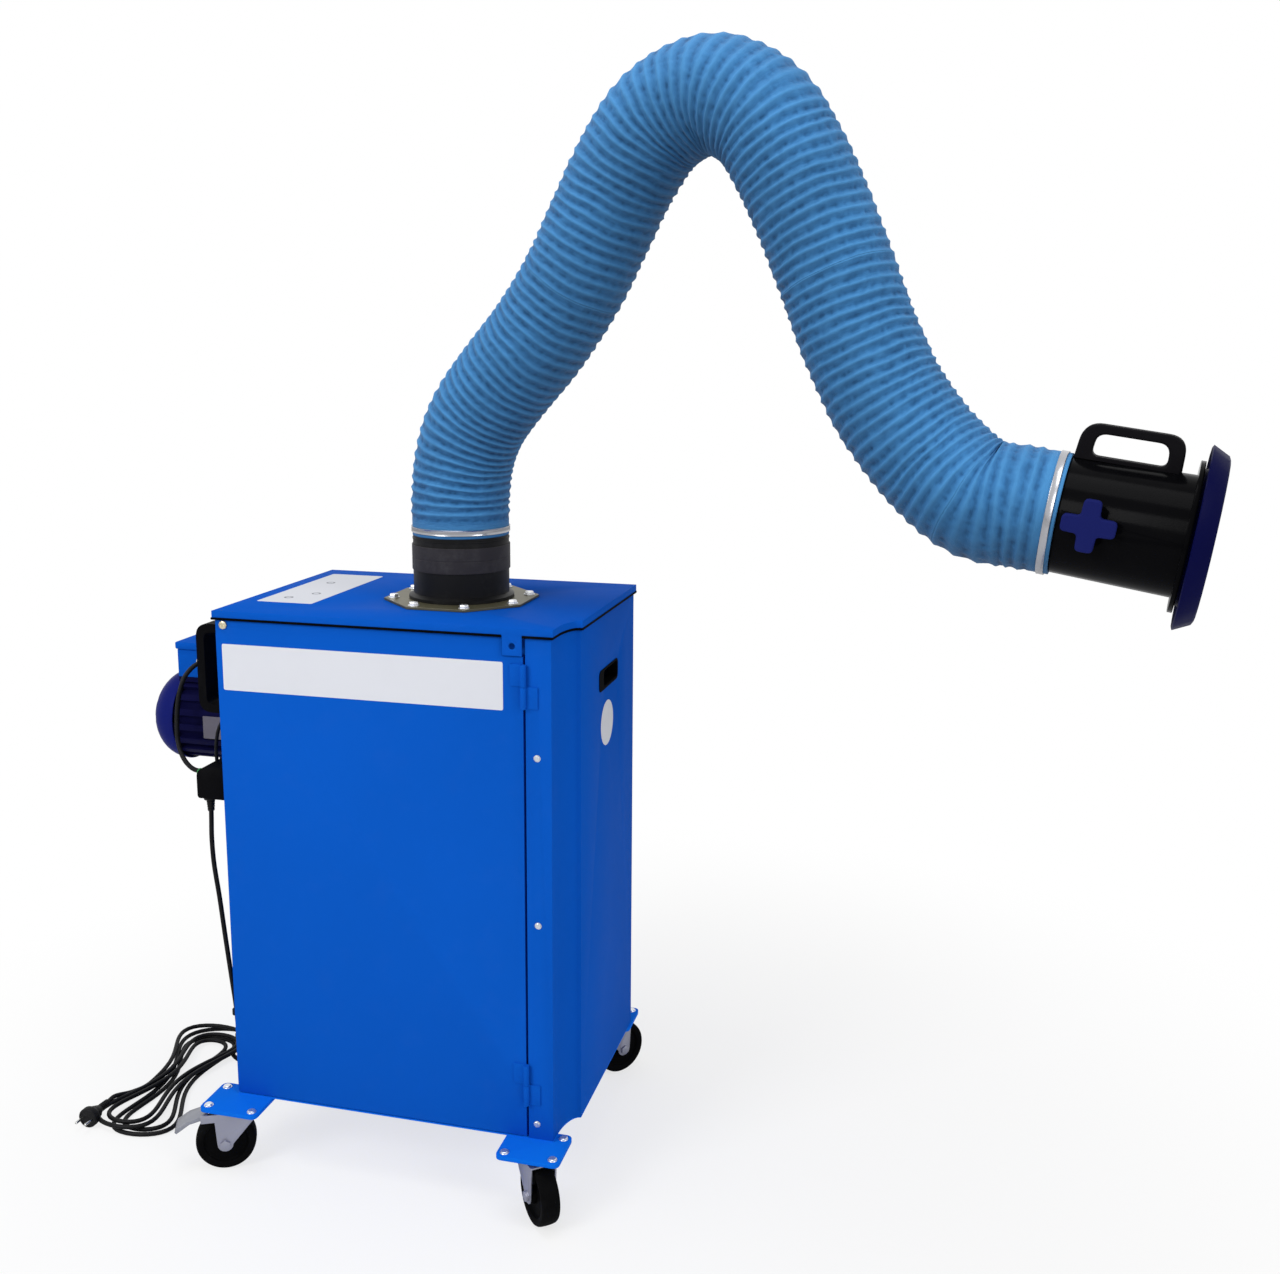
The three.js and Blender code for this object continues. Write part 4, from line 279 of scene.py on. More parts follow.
def through(points, stretch=4.0):
    """A centripetal curve through given points, sampled about every few millimetres."""
    points = [Vector(p) for p in points]
    ends = [2 * points[0] - points[1], *points, 2 * points[-1] - points[-2]]
    line = [points[0]]
    for before, a, b, after in zip(ends, ends[1:], ends[2:], ends[3:]):
        d0, d1, d2 = ((b1 - a1).length ** 0.5 for a1, b1 in ((before, a), (a, b), (b, after)))
        leave = ((a - before) / d0 - (b - before) / (d0 + d1) + (b - a) / d1) * d1
        arrive = ((b - a) / d1 - (after - a) / (d1 + d2) + (after - b) / d2) * d1
        steps = max(2, round((b - a).length / stretch))
        for i in range(1, steps + 1):
            t = i / steps
            line.append(a + leave * t + (3 * (b - a) - 2 * leave - arrive) * t * t
                        + (2 * (a - b) + leave + arrive) * t ** 3)
    return line


def smoothstep(x, low, high):
    """Rises gently from 0 to 1 between two values."""
    t = min(1, max(0, (x - low) / (high - low)))
    return t * t * (3 - 2 * t)


hank_turns = 4.4
hank_heading = radians(97.7)
upper_layer_turn = 0.2
lower_layer, layer_step = 4.3, 9.4
hank_x, upper_layer_shift, hank_shift = -527, 12, 30
reach, reach_shrink = 186, 34
waist, waist_shrink = 34, 27
end_width, end_shrink = 120, 46


def hank_point(turn):
    """The lead's place after so many turns: long loops that shrink towards the middle, in two layers."""
    middle = hank_turns / 2
    inward = 1 - abs(turn - middle) / middle
    climb = smoothstep(turn, middle - 0.25, middle + 0.25)
    tail = smoothstep(hank_turns - turn, 0, 0.5)
    heading = hank_heading - upper_layer_turn * climb * tail
    angle = 0.62 + 2 * pi * turn
    sine = sin(angle)
    along = (reach - reach_shrink * inward) * sine
    width = waist - waist_shrink * inward + (end_width - end_shrink * inward) * sine * sine
    aside = cos(angle) * width
    return Vector((sin(heading) * aside + cos(heading) * along + hank_x - upper_layer_shift * climb,
                   sin(heading) * along - cos(heading) * aside - hank_shift * smoothstep(turn, 0, 0.5) * tail,
                   lower_layer + layer_step * climb))


def hank_direction(turn):
    """The way the lead runs there."""
    return (hank_point(turn + 0.002) - hank_point(turn - 0.002)).normalized()


lead_down = [(-337, -178, 610.4), (-337, -179, 594), (-335, -184, 566), (-331, -188, 524), (-323, -189, 462),
             (-315, -190, 390), (-306, -192, 320), (-300.5, -192, 270), (-299, -191, 234),
             (-299.5, -184, 197), (-303, -164, 162), (-312, -134, 131), (-325, -97, 101), (-343, -57, 66),
             (-366, -19, 36), (-393, 15, 16), (-416, 38, 7.5), (-437, 58, 4.6)]
hank_start = hank_point(0)
lead_down.append(hank_start - 24 * hank_direction(0))
lead_down.append(hank_start - 0.3 * hank_direction(0))
plug_heading = -92
plug_way = Vector((cos(radians(plug_heading)), sin(radians(plug_heading)), 0))
plug_entry = Vector((-601, -146, 18.3))
hank_end = hank_point(hank_turns)
lead_on = [hank_end + 0.3 * hank_direction(hank_turns), hank_end + 20 * hank_direction(hank_turns),
           (-574, -66, 10), (-586, -96, 12), plug_entry - 20 * plug_way, plug_entry - 0.3 * plug_way]
hank_steps = 280
lead_line = through(lead_down)[:-1]
lead_line += [hank_point(hank_turns * i / hank_steps) for i in range(hank_steps + 1)]
lead_line += through(lead_on)[1:]


def round_lead(name, line, radius, material):
    """A round flex as one open curve, and its length in metres."""
    curve = bpy.data.curves.new(name, "CURVE")
    curve.dimensions = "3D"
    curve.bevel_depth = radius / 1000
    curve.bevel_resolution = 5
    curve.use_fill_caps = True
    spline = curve.splines.new("POLY")
    spline.points.add(len(line) - 1)
    for knot, point in zip(spline.points, line):
        knot.co = (*(cabinet_place @ point), 1)
    spline.use_smooth = True
    lead = bpy.data.objects.new(name, curve)
    scene.collection.objects.link(lead)
    curve.materials.append(material)
    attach(lead, "cabinet")
    return lead, sum((b - a).length for a, b in zip(line, line[1:])) / 1000


mains_lead, mains_length = round_lead("mains_lead_flex", lead_line, 4, lead_rubber)
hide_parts("mains_lead", "mains_lead_hank", "mains_lead_tail")


# Plug: rubber moulded onto the lead's end, with a ribbed neck, a waisted grip and a round face, and two
# round nickel-plated pins pressed into the face.
def turned(name, profile, place, material, body="cabinet", segments=96, closed=False, wobble=None):
    """A turned piece from (radius, along) points in millimetres round the place's Z axis. Only a ring is
    closed from its last point to its first, and a wobble may change the radius by the angle."""
    corners, faces = [], []
    count = len(profile)
    for k in range(segments):
        angle = 2 * pi * k / segments
        for radius, along in profile:
            if wobble:
                radius = wobble(radius, along, angle)
            corners.append(place @ Vector((radius * cos(angle), radius * sin(angle), along)))
    for k in range(segments):
        onward = (k + 1) % segments
        for i in range(count if closed else count - 1):
            j = (i + 1) % count
            faces.append((k * count + i, onward * count + i, onward * count + j, k * count + j))
    mesh = mesh_of(name, corners, faces, smooth=0)
    sheet = bmesh.new()
    sheet.from_mesh(mesh)
    bmesh.ops.remove_doubles(sheet, verts=sheet.verts, dist=1e-7)
    bmesh.ops.recalc_face_normals(sheet, faces=sheet.faces)
    sheet.to_mesh(mesh)
    sheet.free()
    mesh.set_sharp_from_angle(angle=radians(35))
    return new_piece(name, mesh, material, body)


def moved(x, y, z):
    """A step in millimetres along a place's own axes."""
    return Matrix.Translation((x, y, z))


def spun(degrees, axis):
    """A turn about one of a place's own axes."""
    return Matrix.Rotation(radians(degrees), 4, axis)


plug_rubber = finish("plug_rubber", (18, 18, 20), roughness=0.5, blotch=0.05, grain=700, depth=0.2,
                     shine=0.14)
pin_metal = finish("nickel_pins", (196, 196, 192), roughness=0.22, metal=1.0, grain=500, dust=0.0)
plug_place = cabinet_place @ Matrix.Translation(plug_entry) @ spun(plug_heading, "Z") @ spun(90, "Y")
neck = [(0, 0), (5.2, 0), (5.8, 1)]
for i in range(5):
    r, z = 6 + 0.16 * i, 2 + 4 * i
    neck += [(r, z), (r, z + 2.2), (r - 1, z + 2.6), (r - 1, z + 3.7)]
neck += [(7.2, 24), (9, 27), (12.6, 33), (13.4, 36), (13.2, 39), (14.4, 42.5), (16.8, 44.6), (17.6, 46),
         (17.9, 48), (17.9, 56), (17.3, 57.4), (16.4, 58), (14.6, 58), (14.2, 57), (0, 57)]
grip_from, grip_to, grip_pinch = 25, 44, 0.2


def grip_sides(radius, along, angle):
    """The grip is pressed in on two sides, deepest halfway along."""
    if not grip_from < along < grip_to:
        return radius
    depth = grip_pinch * sin(pi * (along - grip_from) / (grip_to - grip_from))
    return radius * (1 - depth * cos(angle) ** 4)


plug = turned("mains_plug_body", neck, plug_place, plug_rubber, segments=64, wobble=grip_sides)
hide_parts("mains_plug")
pin_outline = [(0, 55), (2.4, 55), (2.4, 74.6), (2.2, 75.8), (1.6, 76.7), (0, 77)]
for side, aside in (("left", -9.5), ("right", 9.5)):
    pin = turned(f"mains_plug_pin_{side}", pin_outline, plug_place @ moved(0, aside, 0), pin_metal,
                 segments=24)

# Strain relief of the mains lead: a moulded nut screwed in under the switch, with a tapered, ribbed
# rubber sleeve round the lead.
gland_place = cabinet_place @ moved(-337, -178, 0)
sleeve = [(4.15, 611.2), (5.4, 610.9), (5.6, 612)]
for i in range(4):
    r, z = 5.8 + 0.35 * i, 613 + 4.2 * i
    sleeve += [(r, z), (r, z + 2), (r - 0.9, z + 2.4), (r - 0.9, z + 3.7)]
sleeve += [(7.4, 630.4), (10.4, 630.8), (10.9, 631.4), (10.9, 636), (10.4, 636.6), (0, 636.6), (0, 611.2)]
mains_gland = turned("mains_gland_sleeve", sleeve, gland_place, plug_rubber, segments=48, closed=True)
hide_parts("mains_gland")

# Two short black rubber leads on the left side: the motor's flex from its terminal box round to the switch,
# and the control lead from a hole in the panel down into the switch's top.
flex_start, flex_end = (-414, -62.6, 834), (-350.6, -151, 668)
flex_line = through([flex_start, (-418, -78, 831), (-428, -92, 815), (-434, -101, 790), (-436, -108, 760),
                     (-434, -115, 733), (-429, -122, 706), (-417, -131, 686), (-400, -141, 674),
                     (-381, -149, 668.5), (-354.6, -151, 668), flex_end], 3.0)
motor_flex, flex_length = round_lead("motor_flex_lead", flex_line, 4, lead_rubber)
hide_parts("motor_flex")
control_start = (-293.3, -148, 768)
control_line = through([control_start, (-306, -148, 768), (-321, -150, 762), (-330, -153, 747),
                        (-333, -157, 728), (-333, -160, 709), (-332, -161, 690.3)], 2.5)
control_lead, control_length = round_lead("control_lead_flex", control_line, 3, lead_rubber)
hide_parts("control_lead")

# Cabinet: folded and welded sheet steel with a blue powder coat, slightly uneven to the touch.
# The wrap, lid, door and inner walls are carried over, and get their small folded radii here.
welded = bpy.data.node_groups.new("shade_by_angle", "GeometryNodeTree")
welded.interface.new_socket(name="Geometry", in_out="INPUT", socket_type="NodeSocketGeometry")
welded.interface.new_socket(name="Geometry", in_out="OUTPUT", socket_type="NodeSocketGeometry")
mesh_in = welded.nodes.new("NodeGroupInput")
mesh_out = welded.nodes.new("NodeGroupOutput")
angle_at = wired(welded, "GeometryNodeInputMeshEdgeAngle")
gentle = wired(welded, "FunctionNodeCompare", [(0, angle_at.outputs["Unsigned Angle"])], data_type="FLOAT",
               operation="LESS_EQUAL", in_1=radians(38))
bare = wired(welded, "GeometryNodeRemoveAttribute", [("Geometry", mesh_in.outputs[0])],
             in_Name="custom_normal")
all_smooth = wired(welded, "GeometryNodeSetShadeSmooth", [("Geometry", bare.outputs[0])], domain="FACE")
by_edge = wired(welded, "GeometryNodeSetShadeSmooth", [("Geometry", all_smooth.outputs[0]),
                ("Shade Smooth", gentle.outputs[0])], domain="EDGE")
welded.links.new(by_edge.outputs[0], mesh_out.inputs[0])


def round_edges(piece, radius, steeper, slices=2):
    """A radius in millimetres along every edge sharper than that angle in degrees."""
    rounded = piece.modifiers.new("edge_radius", "BEVEL")
    rounded.width = radius / 1000
    rounded.segments = slices
    rounded.limit_method = "ANGLE"
    rounded.angle_limit = radians(steeper)


def dress(names, material, edge=0.0):
    """Carried-over pieces: one skin, an edge radius in millimetres, and their finish."""
    for name in names if isinstance(names, (list, tuple)) else [names]:
        node = nodes[name]
        node.data.materials.clear()
        node.data.materials.append(material)
        skin = node.modifiers.new("one_skin", "WELD")
        skin.merge_threshold = 0.00001
        if edge:
            flat = node.modifiers.new("whole_faces", "DECIMATE")
            flat.decimate_type = "DISSOLVE"
            flat.angle_limit = radians(0.6)
            round_edges(node, edge, 40)
        shading = node.modifiers.new("shading", "NODES")
        shading.node_group = welded


half_width, half_depth, lid_top = 293, 209, 960
cabinet_blue = finish("cabinet_powder_coat", (12, 86, 190), roughness=0.46, blotch=0.03, grain=420,
                      dust=0.004, depth=0.16, shine=0.012)
inner_blue = finish("inner_powder_coat", (14, 80, 176), roughness=0.52, blotch=0.05, grain=420, dust=0.06,
                    depth=0.16, shine=0.08)
dress("cabinet_shell", cabinet_blue, edge=0.7)
dress("top_plate", cabinet_blue, edge=0.8)
dress("door_panel", cabinet_blue, edge=0.9)
dress("exhaust_grille", cabinet_blue, edge=0.6)
dress(["fan_partition", "filter_deck"], inner_blue, edge=0.5)

# Floor pan with its four corner plates: pressed sheet in a brighter blue coat. Each corner is bolted down
# on its castor's plate, and the bolts outside the walls show.
plate_blue = finish("corner_plate_coat", (12, 108, 226), roughness=0.42, blotch=0.03, grain=420, dust=0.006,
                    depth=0.14, shine=0.03)
dress("base_frame", plate_blue, edge=0.8)
bolt_zinc = finish("bolt_zinc", (222, 224, 228), roughness=0.3, metal=0.85, blotch=0.06, grain=600)


def bolt_heads(name, places, radius, height, way, material, round_head=False):
    """Fastener heads at cabinet places: each a washer with a chamfered head, six-sided or round."""
    turn = Vector((0, 0, 1)).rotation_difference(Vector(way)).to_matrix().to_4x4()
    corners, faces = [], []
    profile = [(radius * 1.22, 0), (radius * 1.22, height * 0.18), (radius, height * 0.2),
               (radius, height * 0.78), (radius * 0.84, height)]
    ring = 24 if round_head else 12
    for place in places:
        seat = cabinet_place @ Matrix.Translation(place) @ turn
        first = len(corners)
        for r, h in profile:
            six_sided = not round_head and 0.19 * height < h < 0.8 * height
            for k in range(ring):
                angle = 2 * pi * k / ring
                reach = r * (cos(pi / 6) if six_sided and k % 2 else 1.0)
                corners.append(seat @ Vector((reach * cos(angle), reach * sin(angle), h)))
        for i in range(len(profile) - 1):
            for k in range(ring):
                a, b = first + i * ring + k, first + i * ring + (k + 1) % ring
                faces.append((a, b, b + ring, a + ring))
        top = first + (len(profile) - 1) * ring
        faces.append(tuple(range(top, top + ring)))
        faces.append(tuple(range(first + ring - 1, first - 1, -1)))
    return new_piece(name, mesh_of(name, corners, faces, 30), material, "cabinet")


castor_centres = {"front_left": (-283, -225), "front_right": (243, -225), "rear_left": (-283, 225),
                  "rear_right": (243, 225)}
bolt_aside, bolt_along = 40, 30
cove_left, cove_back = 272, -150
plate_top = 118
plate_bolts = []
for name, (x, y) in castor_centres.items():
    for px in (x - bolt_aside, x + bolt_aside):
        for py in (y - bolt_along, y + bolt_along):
            in_cove = px > cove_left and py < cove_back
            if abs(px) >= half_width or abs(py) >= half_depth or in_cove:
                plate_bolts.append((px, py, plate_top))
heads = bolt_heads("corner_plate_bolts", plate_bolts, 6.4, 3.4, (0, 0, 1), bolt_zinc, round_head=True)

# Castors: pressed, zinc-plated forks that swivel on a ball race, black rubber tyres on a riveted axle,
# and a foot brake on the two left ones.
fork_zinc = finish("fork_zinc", (150, 151, 164), roughness=0.38, metal=0.8, blotch=0.12, grain=260, dust=0.05,
                   depth=0.15)
pedal_zinc = finish("pedal_zinc", (142, 144, 152), roughness=0.36, metal=0.8, blotch=0.12, grain=260,
                    dust=0.05, depth=0.15)
wheel_rubber = finish("wheel_rubber", (11, 11, 12), roughness=0.5, blotch=0.06, grain=700, dust=0.006,
                      depth=0.2, shine=0.05)
for name in castor_centres:
    dress(f"castor_fork_{name}", fork_zinc, edge=1.0)
for name in ("front_left", "rear_left"):
    dress(f"brake_pedal_{name}", pedal_zinc, edge=0.7)

castor_trail, wheel_radius = 24, 50
castor_headings = {"front_left": 206, "front_right": -50, "rear_left": 130, "rear_right": 50}
tyre = [(12.4, -18), (13.6, -17.4), (14, -16.6), (14, -10.4), (17, -9.4), (34, -9.2), (36, -10.6),
        (37, -13.2), (39.5, -14.6), (44.6, -15.9), (47.2, -15.2), (48.9, -12.8), (49.6, -9),
        (wheel_radius, -4)]
tyre += [(r, -x) for r, x in reversed(tyre)] + [(6.2, 18), (6.2, -18)]
for name, (x, y) in castor_centres.items():
    place = cabinet_place @ moved(x, y, 0) @ spun(castor_headings[name], "Z") \
        @ moved(castor_trail, 0, wheel_radius) @ spun(90, "X")
    wheel = turned(f"castor_tyre_{name}", tyre, place, wheel_rubber, f"wheel_{name}", segments=96,
                   closed=True)
    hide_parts(f"castor_wheel_{name}")

# Small fasteners of the cabinet: three dome-headed steel screws in the front post, a quarter-turn fastener
# of plated brass in the door's corner, and two moulded clips that hold the mains lead to the panel's edge.
dome_zinc = finish("dome_screws", (205, 208, 214), roughness=0.3, metal=0.8, blotch=0.05, grain=500)
screw_places = [(x, -half_depth, z) for x, z in ((247, 758), (247, 486), (243, 146))]
post_screws = bolt_heads("post_screws", screw_places, 4.6, 2.6, (0, -1, 0), dome_zinc, round_head=True)
lock_brass = finish("lock_brass", (205, 196, 168), roughness=0.3, metal=0.8, blotch=0.06, grain=400)
dress("door_lock", lock_brass, edge=0.6)

clip_black = finish("clip_plastic", (13, 13, 15), roughness=0.5, grain=600, dust=0.02, shine=0.12)
clip_outline = [(4.3, -5), (6.1, -5), (6.6, -4.4), (6.6, 4.4), (6.1, 5), (4.3, 5)]
for i, (x, y, z) in enumerate(((-300.4, -192, 260), (-299.2, -188.5, 213))):
    clip = turned(f"lead_clip_{i}", clip_outline, cabinet_place @ moved(x, y, z), clip_black, segments=32,
                  closed=True)

# Labels: pale vinyl, stuck flat on the door, the lid and the right side, with three grey rings on
# the lid's one.
vinyl_thickness = 0.4
label_vinyl = finish("pale_label_vinyl", (218, 220, 227), roughness=0.5, blotch=0.02, grain=300, depth=0.05,
                     shine=0.08)


def pressed(name, corners, faces, place, material, body, edge, slices, steeper):
    """A flat piece from corners in millimetres, put at its place with its edges rounded."""
    mesh = mesh_of(name, corners, faces, smooth=0)
    mesh.transform(place)
    mesh.set_sharp_from_angle(angle=radians(30))
    piece = new_piece(name, mesh, material, body)
    round_edges(piece, edge, steeper, slices)
    return piece


def flat_plate(name, outline, thickness, place, material, body="cabinet", edge=0.12, slices=2, steeper=30):
    """A thin plate from its outline in millimetres, standing on the place's XY plane."""
    count = len(outline)
    corners = [Vector((x, y, h)) for h in (0, thickness) for x, y in outline]
    faces = [tuple(range(count - 1, -1, -1)), tuple(range(count, 2 * count))]
    faces += [(k, (k + 1) % count, count + (k + 1) % count, count + k) for k in range(count)]
    return pressed(name, corners, faces, place, material, body, edge, slices, steeper)


def rounded_outline(x0, y0, x1, y1, radius):
    """A rectangle's outline with its four corners rounded alike."""
    points = []
    steps = 6
    for cx, cy, start in ((x1 - radius, y0 + radius, -90), (x1 - radius, y1 - radius, 0),
                          (x0 + radius, y1 - radius, 90), (x0 + radius, y0 + radius, 180)):
        for i in range(steps + 1):
            angle = radians(start + 90 * i / steps)
            points.append((cx + radius * cos(angle), cy + radius * sin(angle)))
    return points


def softened(points, radii, steps=6):
    """A closed outline with each of its corners rounded to its own radius."""
    outline = []
    count = len(points)
    for k in range(count):
        here = Vector(points[k])
        back, onward = (Vector(points[k - 1]) - here), (Vector(points[(k + 1) % count]) - here)
        turn = back.angle(onward)
        reach = min(radii[k] / tan(turn / 2), back.length * 0.49, onward.length * 0.49)
        leave, arrive = here + back.normalized() * reach, here + onward.normalized() * reach
        for i in range(steps + 1):
            t = i / steps
            outline.append(leave * (1 - t) ** 2 + here * 2 * t * (1 - t) + arrive * t * t)
    return outline


def flat_ring(name, outer, inner, thickness, place, material, edge, body="cabinet", slices=2):
    """A flat frame between two outlines of equally many points, standing on the place's XY plane."""
    count = len(outer)
    corners = [Vector((p[0], p[1], h)) for outline in (outer, inner) for h in (0, thickness) for p in outline]
    faces = []
    for k in range(count):
        m = (k + 1) % count
        o0, o1, ot0, ot1 = k, m, count + k, count + m
        i0, i1, it0, it1 = 2 * count + k, 2 * count + m, 3 * count + k, 3 * count + m
        faces += [(o1, o0, i0, i1), (ot0, ot1, it1, it0), (o0, o1, ot1, ot0), (i1, i0, it0, it1)]
    return pressed(name, corners, faces, place, material, body, edge, slices, 40)


def edge_strip(name, line, z, half_side, half_height, material):
    """A soft strip swept along a level line at that height, from half its width and half its height."""
    upright = Vector((0, 0, 1))
    line = [Vector((x, y, z)) for x, y in line]
    count, sides = len(line), 10
    corners, faces = [], []
    for k, here in enumerate(line):
        steps = (here - line[max(0, k - 1)], line[min(k + 1, count - 1)] - here)
        ways = [step.normalized() for step in steps if step.length > 1e-6]
        way = sum(ways, Vector()).normalized()
        side = way.cross(upright).normalized() * half_side / max(0.5, way.dot(ways[0]))
        for i in range(sides):
            angle = 2 * pi * (i + 0.5) / sides
            corners.append(cabinet_place @ (here + side * cos(angle) + upright * half_height * sin(angle)))
    for k in range(count - 1):
        for i in range(sides):
            j = (i + 1) % sides
            faces.append((k * sides + i, k * sides + j, (k + 1) * sides + j, (k + 1) * sides + i))
    faces += [tuple(range(sides - 1, -1, -1)), tuple(range((count - 1) * sides, count * sides))]
    return new_piece(name, mesh_of(name, corners, faces, 50), material, "cabinet")


front_face = cabinet_place @ moved(0, -half_depth, 0) @ spun(90, "X")
lid_face = cabinet_place @ moved(0, 0, lid_top)
side_face = cabinet_place @ moved(half_width, 0, 0) @ spun(90, "Z") @ spun(90, "X")
disc_radius = 38.5
disc = [(29 + disc_radius * cos(radians(a)), 755 + disc_radius * sin(radians(a))) for a in range(0, 360, 5)]
labels = (("door_label", rounded_outline(-283, 830, 193, 906, 3), front_face, "door"),
          ("lid_label", rounded_outline(-270, -118, -170, 166, 4), lid_face, "cabinet"),
          ("side_label", disc, side_face, "cabinet"))
for name, outline, face, body in labels:
    label = flat_plate(name, outline, vinyl_thickness, face, label_vinyl, body)
mark_grey = finish("label_marks", (120, 124, 132), roughness=0.5, grain=300)
for i, (x, y) in enumerate(((-234, -74), (-206, -29), (-231, 76))):
    ring_mark = turned(f"lid_label_mark_{i}", [(5, 0), (8, 0), (8, 0.15), (5, 0.15)],
                       lid_face @ moved(x, y, vinyl_thickness), mark_grey, segments=40, closed=True)

# Black edging: a black strip along the lid's lip, broken at the hinge-side tab, is painted shadow: it stands
# for the dark shade line under the lip. A moulded rubber frame is pushed into the hand hole of the right
# side.
# One black for the hand hole's rubber frame and for the lid's painted shadow strips.
rubber_edging_and_shadow_strip = finish("rubber_edging_and_shadow_strip", (7, 8, 11), roughness=0.6, dust=0.005, depth=0.1, shine=0.03)
lip_out, lip_front, lip_back, lip_middle = 297.3, -213.3, 212, 947.2
cove_edge = [(half_width - 18.8 * cos(radians(9 * i)), -189 + 56.8 * sin(radians(9 * i))) for i in range(11)]
left_line = [(-lip_out, lip_back), (-lip_out, lip_front), (192.6, lip_front)]
right_line = [(225.4, lip_front), (274.2, lip_front), *cove_edge, (lip_out, -132.2), (lip_out, lip_back)]
# The lid strips are painted shadow: a black band where the lip's shade line falls.
for name, line in (("lid_edge_left", left_line), ("lid_edge_right", right_line)):
    strip = edge_strip(name, line, lip_middle, 0.8, 2.0, rubber_edging_and_shadow_strip)
hole_frame = flat_ring("hand_hole_frame", rounded_outline(-22, 817, 97, 853, 10),
                       rounded_outline(5.6, 820, 94.4, 850, 8), 1.1, side_face, rubber_edging_and_shadow_strip, edge=0.4)
collar_depth, collar_start = 16, 15.5
hole_collar = flat_ring("hand_hole_collar", rounded_outline(5.5, 819.5, 94.5, 850.5, 8.5),
                        rounded_outline(7.5, 821.5, 92.5, 848.5, 7), collar_depth,
                        side_face @ moved(0, 0, -collar_start), rubber_edging_and_shadow_strip, edge=0.4)

# Inside: the cartridge of pleated paper, held down by its steel rod, star knob and bar, the deflector plate
# under the inlet, and the galvanised volute with its wheel. They show when the door stands open.
filter_paper = finish("filter_paper", (214, 210, 196), roughness=0.85, blotch=0.08, grain=240, dust=0.15,
                      depth=0.3)
galvanised = finish("galvanised_sheet", (176, 180, 184), metal=0.85, blotch=0.14, grain=90, dust=0.06)
bright_steel = finish("bright_steel", (206, 209, 212), roughness=0.25, metal=1.0, blotch=0.05, grain=500)
dress("filter_cartridge", filter_paper, edge=0.8)
dress("filter_clamp", bright_steel, edge=0.8)
dress(["spark_baffle", "fan_scroll", "impeller"], galvanised, edge=0.4)
dress("motor_shaft", bright_steel, edge=0.5)

# Electric motor: a ribbed cast housing in navy enamel, its fan cowl pressed on behind, a blue terminal
# box with its lid on top, and a plain metal plate on its flank.
motor_enamel = finish("motor_enamel", (15, 15, 54), blotch=0.06, grain=240, dust=0.006, depth=0.3, shine=0.05)
dress("motor_body", motor_enamel, edge=0.9)
cowl_plastic = finish("cowl_enamel", (22, 30, 104), roughness=0.36, blotch=0.05, grain=420, dust=0.004,
                      depth=0.14, shine=0.09)
dress(["terminal_box", "terminal_lid"], cabinet_blue, edge=2.2)
dress("terminal_gland", finish("gland_grey", (190, 193, 196), roughness=0.45, dust=0.05), edge=0.5)
motor_height = 724
motor_place = cabinet_place @ moved(0, 0, motor_height) @ spun(-90, "Y")
cowl_round, cowl_slots = 120, 10
slot_rows, slot_columns = range(10, 15), range(4, 8)
cowl_radius, dome_start, dome_depth = 79.6, 471, 59.4
cowl_side = [(cowl_radius, 466.2), (80.0, 466.8), (80.2, 468), (cowl_radius, 473)]
for along in (480, 486, 492, 497, 502, 507, 511, 515, 518.5, 521.5, 524, 526, 527.8, 529, 529.8):
    cowl_side.append((cowl_radius * sqrt(max(0.0, 1 - ((along - dome_start) / dome_depth) ** 2)), along))
around = [2 * pi * k / cowl_round for k in range(cowl_round)]
corners = [motor_place @ Vector((r * cos(a), r * sin(a), x)) for a in around for r, x in cowl_side]
corners.append(motor_place @ Vector((0, 0, 530.3)))
faces = []
rows = len(cowl_side)
for k in range(cowl_round):
    m = (k + 1) % cowl_round
    for i in range(rows - 1):
        if i in slot_rows and k % (cowl_round // cowl_slots) in slot_columns:
            continue
        faces.append((k * rows + i, k * rows + i + 1, m * rows + i + 1, m * rows + i))
    faces.append((k * rows + rows - 1, len(corners) - 1, m * rows + rows - 1))
cowl = new_piece("motor_cowl", mesh_of("motor_cowl", corners, faces, 45), cowl_plastic, "cabinet")
cowl_wall = 1.4
wall = cowl.modifiers.new("wall", "SOLIDIFY")
wall.thickness = cowl_wall / 1000
wall.offset = -1
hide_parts("fan_cowl")
blade_grey = finish("cooling_fan_plastic", (16, 16, 19), roughness=0.5, shine=0.15)
hub_outline = [(9.4, 485.4), (17, 485.4), (18, 486.4), (18, 506), (16, 509), (9.4, 509)]
fan_hub = turned("cooling_fan_hub", hub_outline, motor_place, blade_grey, "fan_rotor", segments=48,
                 closed=True)
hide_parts("cooling_fan")
vane_count, vane_half, vane_root, vane_bend = 6, 1.2, 16, 0.004
vane = [(vane_root, 486), (66, 486), (66.5, 490), (62, 497), (54, 504), (44, 508), (vane_root, 508)]
n = len(vane)
corners, faces = [], []
for k in range(vane_count):
    turn = spun(360 // vane_count * k, "Z")
    first = len(corners)
    for side in (-vane_half, vane_half):
        corners += [motor_place @ turn @ Vector((r, side + vane_bend * (r - vane_root) ** 2 / 3, x))
                    for r, x in vane]
    faces += [tuple(range(first + n - 1, first - 1, -1)), tuple(range(first + n, first + 2 * n))]
    faces += [(first + i, first + (i + 1) % n, first + n + (i + 1) % n, first + n + i) for i in range(n)]
vane_mesh = mesh_of("cooling_fan_vanes", corners, faces, 30)
vanes = new_piece("cooling_fan_vanes", vane_mesh, blade_grey, "fan_rotor")
plate_grey = finish("rating_plate", (104, 101, 112), roughness=0.45, blotch=0.08, grain=300, dust=0.04,
                    depth=0.05)
flank = cabinet_place @ moved(0, -77.1, 0) @ spun(90, "X")
rating_plate = flat_plate("rating_plate", rounded_outline(-407, 702, -369.5, 742, 1.5), 0.7, flank,
                          plate_grey)

